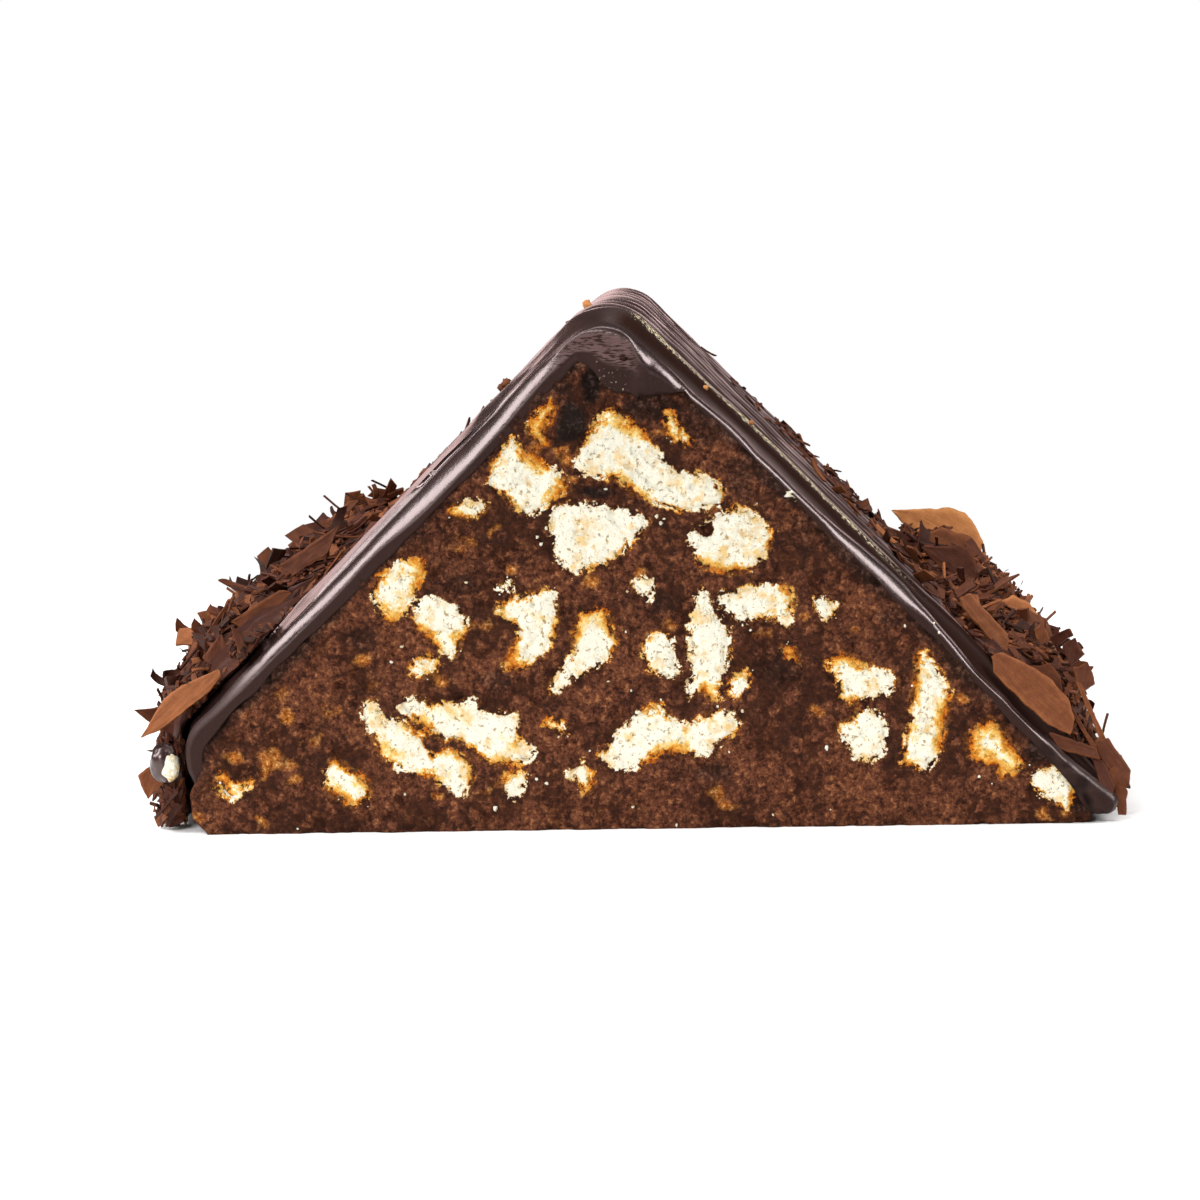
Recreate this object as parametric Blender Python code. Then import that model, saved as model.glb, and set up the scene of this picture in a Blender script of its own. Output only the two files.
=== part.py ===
"""Mosaic cake: a long triangular loaf of chocolate dough and broken biscuits, glazed, its front end cut.

Units are metres, +Z is up, the loaf runs along Y and its cut face looks along -Y.
The origin is on the flat underside, midway between the two feet of the dough and midway along it.
Outlines across the loaf are written in millimetres as (x, z) and turned into metres by MM.
"""

import math
import random

import bmesh
import bpy
from mathutils import Matrix, Vector
from mathutils.bvhtree import BVHTree

MM = 0.001

# Driving sizes of the loaf.
LOAF_LENGTH = 240 * MM
FRONT_Y = -LOAF_LENGTH / 2
BACK_Y = LOAF_LENGTH / 2
GAP = 0.3 * MM  # clearance between two pieces that touch
ARC_STEPS = 4  # sides of a rounded corner, or half as many where its radius is under SMALL_RADIUS
SMALL_RADIUS = 3 * MM

# The dough's cross-section in mm, counter-clockwise from the left foot: corner (x, z) and its radius.
DOUGH_CORNERS = (
    ((-70.5, 0.0), 1.5),
    ((70.0, 0.0), 1.5),
    ((67.5, 6.0), 5.0),
    ((61.5, 13.2), 6.0),
    ((-5.5, 80.8), 14.0),
    ((-71.8, 13.9), 5.0),
)

# The glaze's outer cross-section, which clears the table by GLAZE_FOOT.
GLAZE_FOOT = 1.4
GLAZE_CORNERS = (
    ((-73.0, GLAZE_FOOT), 0.6),
    ((73.0, GLAZE_FOOT), 0.6),
    ((74.2, 3.6), 1.5),
    ((-6.5, 84.1), 7.5),
    ((-74.4, 15.5), 6.0),
)
GLAZE_BACK = 3.0 * MM  # thickness over the closed back end
GLAZE_BACK_ROUND = 2.4 * MM

# The poured glaze sets in ribs that run down both slopes.
RIB_PITCH = 27 * MM
RIB_HEIGHT = 1.5 * MM
RIB_MEANDER = 3.2 * MM
RIB_FOOT_FADE = 22 * MM  # height over which the ribs die out towards the table
RIB_START = 9 * MM  # length over which the ribs rise behind the cut
ALONG_STEPS = 48
ACROSS_STEP = 10 * MM

# Broken biscuits that show in the cut, in mm and degrees: middle (x, z), length, width, the turn of its length
# from +X, how far its middle bows aside, and how much its far end widens as a share of its width.
BISCUITS = {
    "peak_slab": (0.6, 57.7, 24.6, 8.8, -28, 0.0, -0.36),
    "peak_chip": (5.6, 63.8, 5.4, 2.6, -68, 0.0, 0.0),
    "peak_left": (-19.6, 56.0, 12.8, 8.6, -42, 0.0, 0.10),
    "peak_stem": (-16.4, 64.9, 6.0, 3.0, 66, 0.0, 0.10),
    "upper_middle": (-7.6, 46.4, 14.4, 9.2, -14, 1.2, -0.12),
    "upper_right": (13.3, 45.4, 11.8, 9.4, -16, 0.0, 0.0),
    "left_flake": (-28.0, 51.4, 6.2, 2.6, 8, 0.0, 0.0),
    "left_oval": (-39.4, 38.9, 11.2, 7.2, 66, 0.0, 0.12),
    "left_lump": (-32.9, 32.5, 10.2, 6.6, -70, 0.0, -0.10),
    "left_crumb": (-36.3, 26.0, 3.8, 3.0, -30, 0.0, 0.0),
    "middle_hook": (-18.9, 32.0, 13.0, 6.0, 90, 4.6, 0.18),
    "middle_bean": (-10.1, 28.6, 15.4, 6.0, 58, 0.0, 0.42),
    "middle_egg": (1.6, 27.7, 7.2, 5.2, -62, 0.0, 0.0),
    "middle_bar": (8.9, 29.0, 17.0, 5.4, 92, 0.0, -0.06),
    "right_wedge": (17.4, 35.7, 10.8, 5.4, 7, 0.0, 0.14),
    "right_slab": (33.2, 23.8, 11.0, 5.6, -16, 0.0, 0.0),
    "right_drop": (33.4, 14.9, 8.8, 7.0, 70, 0.0, 0.0),
    "right_bar": (43.2, 18.0, 19.2, 6.8, 83, 0.0, -0.20),
    "right_amber": (54.0, 12.2, 10.4, 6.4, -38, 0.0, 0.0),
    "right_foot": (63.5, 5.8, 8.2, 4.4, -38, 0.0, 0.0),
    "low_slab": (2.5, 14.6, 23.2, 7.2, 11, -1.0, 0.0),
    "low_left_slab": (-29.3, 16.7, 22.4, 6.4, -19, -1.8, 0.10),
    "low_left_wing": (-37.3, 12.6, 21.0, 5.4, -36, 1.4, 0.10),
    "low_left_amber": (-48.4, 7.9, 7.6, 6.0, -28, 0.0, 0.0),
    "low_peg": (-21.9, 7.6, 4.2, 3.2, 84, 0.0, 0.0),
    "low_shard": (-11.2, 8.7, 4.8, 3.4, 62, 0.0, 0.0),
    "low_sliver": (-15.1, 16.8, 4.2, 2.0, -20, 0.0, 0.0),
    "middle_chip": (-1.0, 38.3, 4.2, 2.6, -52, 0.0, 0.0),
    "bar_chip": (15.0, 22.9, 4.4, 3.0, 76, 0.0, 0.0),
    "left_foot": (-65.6, 7.7, 6.8, 2.8, -12, 0.0, 0.0),
    "right_splinter": (27.3, 34.9, 4.4, 2.6, -18, 0.0, 0.0),
    "right_nib": (22.0, 27.3, 3.4, 2.0, -36, 0.0, 0.0),
    "hook_chip": (-24.6, 39.6, 3.4, 1.8, -14, 0.0, 0.0),
}
BISCUIT_BLUNT = 2.7  # power of the rounded oblong: 2 is an oval, and more is squarer
BISCUIT_DEPTH = (7 * MM, 13 * MM)
BISCUIT_PROUD = 0.25 * MM
POCKET_GAP = 0.38 * MM
BISCUIT_RAGGED = 0.5  # most that a point of a broken edge is nudged each way, in mm
BISCUIT_STEP = 2.6 * MM
BISCUIT_TAPER = 0.82

# Chocolate plates as large as berries, each its own piece: its place along the loaf in mm, the degrees that
# it leans back and turns away, and its outline seen from the front, corner points (x, z) in mm.
PLATES = {
    "plate_right_front": (-117.0, -20, 8, (
        (54.5, 26.4), (55.6, 26.8), (63, 22.7), (65.9, 19.1), (66.8, 16.3), (66.3, 14.8), (63.4, 16.4),
        (59.8, 19.6), (55.1, 24.1))),
    "plate_right_slope": (-88.0, -30, 16, (
        (50.9, 32.9), (52.7, 33.3), (58.9, 26.4), (58.4, 23.8), (55.2, 26.6), (51.4, 31.2))),
    "plate_right_low": (-45.0, -24, -14, (
        (59.4, 26.8), (63.2, 28.9), (66.2, 27.4), (69.2, 23.4), (65.6, 21.6), (61, 23.4))),
    "plate_right_dark": (20.0, -20, 20, (
        (55.3, 27), (60, 28.2), (64.1, 26.8), (66, 23.6), (66.5, 19.1), (65.4, 17.2), (61, 21.2))),
    "plate_right_steep": (66.0, -16, -18, (
        (53, 30.4), (58, 32.2), (63.6, 30.4), (66.8, 26), (67, 21.6), (60.4, 22.8))),
    "plate_right_far": (108.0, -10, 6, (
        (49.8, 33), (62.1, 33.2), (65.1, 32.3), (67, 30.4), (69.1, 26), (68.6, 23), (60.4, 22.8),
        (54, 27.8))),
    "plate_left_front": (-117.0, -18, -8, (
        (-81.1, 15.5), (-77.9, 21), (-74.8, 23.5), (-68.5, 26.1), (-68.2, 25), (-70, 22.8), (-74.3, 19.4),
        (-78.3, 16.6))),
    "plate_left_point": (-102.0, -24, 10, (
        (-70, 30), (-68.3, 25.8), (-70.7, 24.3), (-73, 26.4))),
    "plate_left_middle": (-46.0, -26, 14, (
        (-77, 24.6), (-71.5, 29), (-65.6, 31.4), (-66.6, 28.8), (-71, 24.8), (-75.4, 22.8))),
    "plate_left_rear": (10.0, -22, -16, (
        (-77.8, 26.8), (-72, 30.8), (-67.1, 33), (-64.4, 32.6), (-69.1, 27.6), (-74.5, 25))),
    "plate_left_far": (94.0, -14, -10, (
        (-77.4, 28.5), (-73, 31.8), (-68, 34.3), (-64.2, 37.6), (-62, 38), (-66.4, 31.6), (-71, 28),
        (-74.9, 26.4))),
}
PLATE_THICK = 1.0 * MM
PLATE_ROOM = 0.45 * MM

# A crumb of biscuit that the glaze coated, stuck low on the left side by the cut.
CRUMB_CENTRE = (-77.7, -116.8, 11.2)
CRUMB_RADII = (2.5, 2.7, 3.5)

# The banks of shavings on both feet: heights (mm) on the glaze's outer line and the bank's thickness there.
RIGHT_BANK = ((4.2, 1.4), (8.3, 3.4), (11.5, 5.6), (15.5, 8.4), (19.5, 8.6), (23.5, 6.0), (26.5, 3.0))
LEFT_BANK = ((1.6, 3.4), (7.0, 4.6), (12.5, 5.2), (15.5, 6.2), (18.5, 7.8), (23.0, 8.6), (28.0, 7.0),
             (33.0, 3.2))
BANK_CLEARANCE = 0.55 * MM
BANK_STATIONS = 19
BANK_FRONT_Y = FRONT_Y + 9 * MM
BANK_BACK_Y = BACK_Y - 2 * MM
BANK_UNEVEN = 0.18
BANK_CREST = 0.09
FLAKES_PER_BANK = 60
FLAKE_THICK = 0.8
RANDOM_SEED = 20


def clear_scene():
    for obj in list(bpy.data.objects):
        bpy.data.objects.remove(obj, do_unlink=True)


def chocolate(name, colour, roughness):
    """A plain food material: base colour, gloss, never metal."""
    material = bpy.data.materials.new(name)
    material.use_nodes = True
    shader = material.node_tree.nodes["Principled BSDF"]
    shader.inputs["Base Color"].default_value = (*colour, 1.0)
    shader.inputs["Roughness"].default_value = roughness
    shader.inputs["Metallic"].default_value = 0.0
    return material


def link_mesh(name, mesh, material):
    obj = bpy.data.objects.new(name, mesh)
    bpy.context.scene.collection.objects.link(obj)
    mesh.materials.clear()
    mesh.materials.append(material)
    return obj


def rounded_outline(corners):
    """The closed outline through the corners, each rounded by an arc of its radius."""
    points = [Vector(corner) * MM for corner, _ in corners]
    radii = [radius * MM for _, radius in corners]
    outline = []
    for i, corner in enumerate(points):
        to_last = (points[i - 1] - corner).normalized()
        to_next = (points[(i + 1) % len(points)] - corner).normalized()
        half = to_last.angle(to_next) / 2
        reach = radii[i] / math.tan(half)
        centre = corner + (to_last + to_next).normalized() * radii[i] / math.sin(half)
        start = corner + to_last * reach - centre
        end = corner + to_next * reach - centre
        sweep = start.angle_signed(end)
        steps = ARC_STEPS if radii[i] > SMALL_RADIUS else ARC_STEPS // 2
        for step in range(steps + 1):
            outline.append(centre + Matrix.Rotation(-sweep * step / steps, 2) @ start)
    return outline


def divided(outline, spacing):
    """The open polyline with its long sides divided evenly at about the spacing."""
    result = [outline[0]]
    for a, b in zip(outline, outline[1:]):
        parts = max(1, round((b - a).length / spacing))
        result += [a.lerp(b, part / parts) for part in range(1, parts + 1)]
    return result


def grown(outline, distance):
    """The closed counter-clockwise outline, every side moved out by the distance, corners mitred."""
    result = []
    for i, point in enumerate(outline):
        to_here = (point - outline[i - 1]).normalized()
        onward = (outline[(i + 1) % len(outline)] - point).normalized()
        first, second = Vector((to_here.y, -to_here.x)), Vector((onward.y, -onward.x))
        result.append(point + (first + second) * distance / max(1 + first.dot(second), 0.35))
    return result


def area_of(outline):
    return sum(a.x * b.y - b.x * a.y for a, b in zip(outline, outline[1:] + outline[:1])) / 2


def lofted(name, rings, material):
    """A closed solid through rings of equal point counts, with a flat cap on the first and the last."""
    bm = bmesh.new()
    loops = [[bm.verts.new(point) for point in ring] for ring in rings]
    count = len(loops[0])
    for near, far in zip(loops, loops[1:]):
        for i in range(count):
            j = (i + 1) % count
            bm.faces.new((near[i], near[j], far[j], far[i]))
    bm.faces.new(loops[0])
    bm.faces.new(loops[-1])
    bmesh.ops.recalc_face_normals(bm, faces=bm.faces)
    mesh = bpy.data.meshes.new(name)
    bm.to_mesh(mesh)
    bm.free()
    return link_mesh(name, mesh, material)


def across(outline, y):
    """The outline across the loaf, set at a place along it."""
    return [Vector((point.x, y, point.y)) for point in outline]


def helper_collection(name, objects):
    group = bpy.data.collections.new(name)
    bpy.context.scene.collection.children.link(group)
    for obj in objects:
        obj.hide_render = True
        obj.display_type = "WIRE"
        for owner in list(obj.users_collection):
            owner.objects.unlink(obj)
        group.objects.link(obj)
    return group


def joined_boolean(target, group, operation, solver="EXACT"):
    """One Boolean of the target with every object of the group, applied, and the group removed."""
    modifier = target.modifiers.new(operation.lower(), "BOOLEAN")
    modifier.operation = operation
    modifier.operand_type = "COLLECTION"
    modifier.collection = group
    modifier.solver = solver
    bpy.context.view_layer.update()
    evaluated = target.evaluated_get(bpy.context.evaluated_depsgraph_get())
    mesh = bpy.data.meshes.new_from_object(evaluated)
    target.modifiers.clear()
    target.data = mesh
    for obj in list(group.objects):
        bpy.data.objects.remove(obj, do_unlink=True)
    bpy.data.collections.remove(group)


def keep_main_shell(obj):
    """Leaves only the largest connected shell: sealed hollows become solid and loose scraps go."""
    bm = bmesh.new()
    bm.from_mesh(obj.data)
    waiting = set(bm.faces)
    shells = []
    while waiting:
        stack = [waiting.pop()]
        shell = []
        while stack:
            face = stack.pop()
            shell.append(face)
            for edge in face.edges:
                for other in edge.link_faces:
                    if other in waiting:
                        waiting.remove(other)
                        stack.append(other)
        shells.append(shell)
    shells.sort(key=len)
    for shell in shells[:-1]:
        bmesh.ops.delete(bm, geom=shell, context="FACES")
    bm.to_mesh(obj.data)
    bm.free()


# Dough and biscuits -------------------------------------------------------------------------------


def signed_power(value, power):
    return math.copysign(abs(value) ** power, value)


def broken_outline(spec, dice):
    """A biscuit's broken edge: a rounded oblong, tapered, bowed and turned, every point nudged by the dice."""
    x, z, length, width, turn, bow, taper = spec
    count = max(8, round((length + width) * 2 * MM / BISCUIT_STEP * 0.85))
    outline = []
    for step in range(count):
        angle = 2 * math.pi * (step + 0.5) / count
        along = signed_power(math.cos(angle), 2 / BISCUIT_BLUNT)
        aside = signed_power(math.sin(angle), 2 / BISCUIT_BLUNT) * width / 2 * (1 + taper * along)
        point = Vector((along * length / 2, aside + bow * (along ** 2 - 0.4)))
        point.rotate(Matrix.Rotation(math.radians(turn), 2))
        nudge = min(BISCUIT_RAGGED, 0.13 * width)
        point += Vector((x + dice.uniform(-nudge, nudge), z + dice.uniform(-nudge, nudge)))
        outline.append(point * MM)
    return outline


def biscuit_plug(name, outline, middle, front, back, material):
    """A fragment from the cut face into the loaf, drawn in towards its middle at its buried end."""
    buried = [middle.lerp(point, BISCUIT_TAPER) for point in outline]
    return lofted(name, [across(outline, front), across(buried, back)], material)


def make_dough(dough_finish, biscuit_finish):
    """The dough prism, with a pocket for every biscuit that shows, and the biscuits in them."""
    dice = random.Random(RANDOM_SEED)
    section = rounded_outline(DOUGH_CORNERS)
    dough = lofted("dough", [across(section, FRONT_Y), across(section, BACK_Y)], dough_finish)
    pockets = []
    for name, spec in BISCUITS.items():
        outline = broken_outline(spec, dice)
        middle = sum(outline, Vector((0, 0))) / len(outline)
        back = FRONT_Y + dice.uniform(*BISCUIT_DEPTH)
        biscuit_plug("biscuit_" + name, outline, middle, FRONT_Y - BISCUIT_PROUD, back, biscuit_finish)
        room = grown(outline, POCKET_GAP)
        mouth, bottom = FRONT_Y - BISCUIT_PROUD, back + POCKET_GAP
        pockets.append(biscuit_plug("pocket", room, middle, mouth, bottom, biscuit_finish))
    joined_boolean(dough, helper_collection("pockets", pockets), "DIFFERENCE")
    keep_main_shell(dough)


# Glaze --------------------------------------------------------------------------------------------


def rib_height(share, height, y):
    """Relief of the ribs at a share of the way across the loaf, at a height, at a place along it."""
    slow = math.sin(9.0 * share + 0.045 * y / MM)
    quick = 0.5 * math.sin(23.0 * share - 0.02 * y / MM)
    meander = RIB_MEANDER * (slow + quick)
    wave = 0.5 - 0.5 * math.cos(2 * math.pi * (y - FRONT_Y + meander) / RIB_PITCH)
    fade = min(1.0, height / RIB_FOOT_FADE) * min(1.0, (y - FRONT_Y) / RIB_START)
    return RIB_HEIGHT * fade * (1 - (1 - wave) ** 2.2)


def glaze_ring(path, y, inset):
    """The glaze's outer line at a place along the loaf, with its ribs, drawn in by an inset."""
    ring = []
    width = path[0].x - path[-1].x
    for i, point in enumerate(path):
        before, after = path[max(i - 1, 0)], path[min(i + 1, len(path) - 1)]
        along = (after - before).normalized()
        outward = Vector((along.y, -along.x))
        relief = rib_height((path[0].x - point.x) / width, point.y, y)
        moved = point + outward * (relief - inset)
        ring.append(Vector((moved.x, y, max(moved.y, GLAZE_FOOT * MM))))
    return ring


def make_glaze(finish):
    """The ribbed coat over both slopes and the back end: a solid from which the dough's room is cut."""
    closed = rounded_outline(GLAZE_CORNERS)
    start = next(i for i, p in enumerate(closed) if p.x > 0 and abs(p.y - GLAZE_FOOT * MM) < 1e-7)
    path = divided(closed[start:] + closed[:start], ACROSS_STEP)
    rings = []
    for step in range(ALONG_STEPS + 1):
        rings.append(glaze_ring(path, FRONT_Y + LOAF_LENGTH * step / ALONG_STEPS, 0.0))
    for turn in (30, 60, 90):
        angle = math.radians(turn)
        back = BACK_Y + GLAZE_BACK - GLAZE_BACK_ROUND * (1 - math.sin(angle))
        rings.append(glaze_ring(path, back, GLAZE_BACK_ROUND * (1 - math.cos(angle))))
    glaze = lofted("glaze", rings, finish)
    room = grown(rounded_outline(DOUGH_CORNERS), GAP)
    feet = [p for p in room if p.y < 3 * MM]
    left, right = min(p.x for p in feet), max(p.x for p in feet)
    below = [Vector((left, -5 * MM)), Vector((right, -5 * MM)), Vector((right, 2.2 * MM))]
    below += [p for p in room if p.y > 3 * MM]
    cutter = lofted("room", [across(below, FRONT_Y - 5 * MM), across(below, BACK_Y + GAP)], finish)
    joined_boolean(glaze, helper_collection("dough_room", [cutter]), "DIFFERENCE")
    keep_main_shell(glaze)
    return glaze


# Chocolate plates and shavings --------------------------------------------------------------------


def chip_rings(length, width, thick, curl, dice, stations):
    """Rings of four points along a chip that bows by its curl, its edges wandering by the dice."""
    rings = []
    for step in range(stations + 1):
        share = step / stations
        x = (share - 0.5) * length
        bow = curl * (1 - (2 * share - 1) ** 2)
        end = 0.55 + 0.45 * math.sin(math.pi * min(max(share, 0.12), 0.88))
        upper = width / 2 * end * dice.uniform(0.8, 1.08)
        lower = -width / 2 * end * dice.uniform(0.8, 1.08)
        half = thick / 2
        near, far = bow - half, bow + half
        rings.append([(x, lower, near), (x, upper, near), (x, upper, far), (x, lower, far)])
    return rings


def make_chip(name, placement, size, dice, material, stations=3):
    """A chip of chocolate: length, width, thickness and curl in mm, placed by a matrix in metres."""
    rings = [[placement @ (Vector(p) * MM) for p in ring] for ring in chip_rings(*size, dice, stations)]
    return lofted(name, rings, material)


def plate_solid(name, spec, margin, material):
    """A flat plate through its outline, tilted by its lean and turn, grown all round by a margin."""
    place, lean, turn, corners = spec
    outline = [Vector(corner) * MM for corner in corners]
    if area_of(outline) < 0:
        outline.reverse()
    middle = sum(outline, Vector((0, 0))) / len(outline)
    back, side = math.tan(math.radians(-lean)), math.tan(math.radians(turn))
    normal = Vector((-side, 1.0, -back)).normalized()
    half = normal * (PLATE_THICK / 2 + margin)
    face = []
    for point in grown(outline, margin) if margin else outline:
        y = place * MM + back * (point.y - middle.y) + side * (point.x - middle.x)
        face.append(Vector((point.x, y, point.y)))
    return lofted(name, [[point - half for point in face], [point + half for point in face]], material)


def make_coated_crumb(finish):
    """A small rounded crumb, from the ellipsoid's cross-sections along the loaf."""
    centre, radii = Vector(CRUMB_CENTRE) * MM, Vector(CRUMB_RADII) * MM
    rings = []
    for lift in (-75, -40, 0, 40, 75):
        flat, along = math.cos(math.radians(lift)), math.sin(math.radians(lift))
        ring = []
        for step in range(9):
            angle = 2 * math.pi * step / 9
            ring.append(centre + Vector((radii.x * flat * math.cos(angle), radii.y * along,
                                         radii.z * flat * math.sin(angle))))
        rings.append(ring)
    return lofted("coated_crumb", rings, finish)


def outside_line(side, height, distance):
    """The point at a height on the glaze's outer line, moved square to the slope by a distance, in mm."""
    foot, apex = Vector(GLAZE_CORNERS[2 if side > 0 else 4][0]), Vector(GLAZE_CORNERS[3][0])
    slope = (apex - foot).normalized()
    outward = Vector((slope.y, -slope.x)) * side
    base = foot + slope * (height - foot.y) / slope.y if height >= foot.y else Vector((foot.x, height))
    on_slope = min(max((height - foot.y + 3) / 6, 0.0), 1.0)
    return base + Vector((side, 0)).lerp(outward, on_slope).normalized() * distance


def bank_core(name, bank, side, finish, dice):
    """The packed middle of a bank of shavings, uneven along the loaf, kept clear of the glazed slope."""
    rings = []
    for station in range(BANK_STATIONS + 1):
        share = station / BANK_STATIONS
        y = BANK_FRONT_Y + (BANK_BACK_Y - BANK_FRONT_Y) * share
        swell = 1 - 0.35 * abs(2 * share - 1) ** 8
        crest = 1 + BANK_CREST * math.sin(2.9 * station + side) + dice.uniform(-BANK_CREST, BANK_CREST)
        inner, outer = [], []
        for i, (height, thick) in enumerate(bank):
            reach = i / (len(bank) - 1)
            moved = height * (1 + (crest - 1) * reach ** 2)
            clear = BANK_CLEARANCE / MM + RIB_HEIGHT / MM * min(1.0, moved * MM / RIB_FOOT_FADE)
            full = max(thick * swell * dice.uniform(1 - BANK_UNEVEN, 1 + BANK_UNEVEN), clear + 0.9)
            for line, distance in ((inner, clear), (outer, full)):
                point = outside_line(side, moved, distance)
                line.append(Vector((point.x, max(point.y, 0.8))) * MM)
        rings.append(across(outer + inner[::-1], y))
    return lofted(name, rings, finish)


def clear_of_slope(points, side):
    """True if every point lies outside the glaze, ribs included, and above the table."""
    foot, apex = Vector(GLAZE_CORNERS[2 if side > 0 else 4][0]) * MM, Vector(GLAZE_CORNERS[3][0]) * MM
    slope = (apex - foot).normalized()
    outward = Vector((slope.y, -slope.x)) * side
    for point in points:
        if point.z < 0.5 * MM:
            return False
        distance = (Vector((point.x, point.z)) - foot).dot(outward)
        if point.z > foot.y and distance < BANK_CLEARANCE + RIB_HEIGHT * min(1.0, point.z / RIB_FOOT_FADE):
            return False
        if point.z <= foot.y and side * point.x < abs(foot.x) + BANK_CLEARANCE:
            return False
    return True


def tree_of(obj):
    """The object's faces as a search tree."""
    bm = bmesh.new()
    bm.from_mesh(obj.data)
    tree = BVHTree.FromBMesh(bm)
    bm.free()
    return tree


def near_any(obj, trees, distance):
    """True if the object crosses one of the trees or one of its corners comes closer than the distance."""
    own = tree_of(obj)
    for tree in trees:
        if own.overlap(tree):
            return True
        for vertex in obj.data.vertices:
            if tree.find_nearest(vertex.co, distance)[0] is not None:
                return True
    return False


def any_direction(dice):
    return Vector((dice.gauss(0, 1), dice.gauss(0, 1), dice.gauss(0, 1))).normalized()


def make_bank(name, bank, side, neighbours, finish, seed):
    """A bank of shavings: its core with the plates' rooms cut out, then the larger shavings fused on."""
    dice = random.Random(seed)
    core = bank_core(name, bank, side, finish, dice)
    here = [spec for spec in PLATES.values() if spec[3][0][0] * side > 0]
    rooms = [plate_solid("room", spec, PLATE_ROOM, finish) for spec in here]
    joined_boolean(core, helper_collection("plate_rooms", rooms), "DIFFERENCE")
    trees = [tree_of(neighbour) for neighbour in neighbours]
    line = [outside_line(side, height, thick) * MM for height, thick in bank]
    flakes = []
    sizes = sorted((dice.random() ** 1.6 for _ in range(FLAKES_PER_BANK)), reverse=True)
    for i, big in enumerate(sizes):
        for _ in range(14):
            share = dice.uniform(0.04, 0.98)
            spot = share * (len(line) - 1)
            k = min(int(spot), len(line) - 2)
            place = line[k].lerp(line[k + 1], spot - k)
            along = (line[k + 1] - line[k]).normalized()
            out = Vector((along.y, 0, -along.x)) * side
            y = BANK_FRONT_Y + (BANK_BACK_Y - BANK_FRONT_Y) * ((i * 0.618 + dice.uniform(0, 0.05)) % 1.0)
            centre = Vector((place.x, y, place.y)) + out * dice.uniform(0.1, 1.0) * MM
            facing = (out + any_direction(dice) * 0.75).normalized()
            lengthwise = facing.cross(any_direction(dice)).normalized()
            turn = Matrix((lengthwise, facing.cross(lengthwise), facing)).transposed().to_4x4()
            placement = Matrix.Translation(centre) @ turn
            size = (6 + 8 * big, 2.4 + 4.4 * big, FLAKE_THICK, 0.3 + 1.2 * big)
            flake = make_chip("flake", placement, size, dice, finish, stations=3 if big > 0.3 else 2)
            points = [vertex.co for vertex in flake.data.vertices]
            if clear_of_slope(points, side) and not near_any(flake, trees, 0.5 * MM):
                flakes.append(flake)
                break
            bpy.data.objects.remove(flake, do_unlink=True)
    joined_boolean(core, helper_collection("flakes", flakes), "UNION", "MANIFOLD")
    keep_main_shell(core)


def main():
    clear_scene()
    dough = chocolate("chocolate_dough", (0.060, 0.022, 0.014), 0.85)
    biscuit = chocolate("biscuit", (0.80, 0.62, 0.34), 0.9)
    glaze = chocolate("chocolate_glaze", (0.030, 0.016, 0.014), 0.22)
    shaving = chocolate("chocolate_shavings", (0.130, 0.050, 0.028), 0.6)
    make_dough(dough, biscuit)
    coat = make_glaze(glaze)
    neighbours = [plate_solid(name, spec, 0.0, shaving) for name, spec in PLATES.items()]
    neighbours += [coat, make_coated_crumb(glaze)]
    make_bank("shavings_right", RIGHT_BANK, 1, neighbours, shaving, RANDOM_SEED + 2)
    make_bank("shavings_left", LEFT_BANK, -1, neighbours, shaving, RANDOM_SEED + 3)


main()
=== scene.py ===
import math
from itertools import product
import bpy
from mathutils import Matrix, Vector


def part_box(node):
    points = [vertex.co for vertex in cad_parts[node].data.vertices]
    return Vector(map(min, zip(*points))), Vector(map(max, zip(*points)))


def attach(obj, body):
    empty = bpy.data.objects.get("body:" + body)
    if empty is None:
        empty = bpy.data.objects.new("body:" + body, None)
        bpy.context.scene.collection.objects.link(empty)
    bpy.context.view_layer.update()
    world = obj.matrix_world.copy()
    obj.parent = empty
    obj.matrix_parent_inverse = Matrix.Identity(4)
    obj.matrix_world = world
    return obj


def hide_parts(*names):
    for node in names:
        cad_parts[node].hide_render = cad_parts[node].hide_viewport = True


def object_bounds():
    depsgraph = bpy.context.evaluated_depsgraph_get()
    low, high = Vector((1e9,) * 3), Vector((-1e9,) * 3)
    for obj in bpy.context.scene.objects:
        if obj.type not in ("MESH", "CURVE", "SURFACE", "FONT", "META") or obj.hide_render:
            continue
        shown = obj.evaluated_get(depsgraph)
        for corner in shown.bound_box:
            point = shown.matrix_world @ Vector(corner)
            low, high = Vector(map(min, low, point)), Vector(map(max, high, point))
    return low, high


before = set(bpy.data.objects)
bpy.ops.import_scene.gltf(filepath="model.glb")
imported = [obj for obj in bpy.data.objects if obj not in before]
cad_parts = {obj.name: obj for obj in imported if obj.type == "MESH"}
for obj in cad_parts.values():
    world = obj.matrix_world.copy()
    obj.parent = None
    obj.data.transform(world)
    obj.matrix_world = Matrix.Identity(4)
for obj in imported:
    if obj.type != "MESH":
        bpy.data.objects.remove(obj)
cad_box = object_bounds()

# A triangular loaf of cocoa dough and broken biscuit, glazed with dark chocolate, cut at its front end,
# with a bank of shaved chocolate along each foot. Sizes are in mm: x runs across the loaf, y along it
# from the cut (-120) to the back (+120), and z up from the table.

from types import SimpleNamespace

import bmesh
import bpy
import numpy as np

MM = 0.001
FRONT_Y, BACK_Y = -120.0, 120.0
GAP = 0.3

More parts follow.
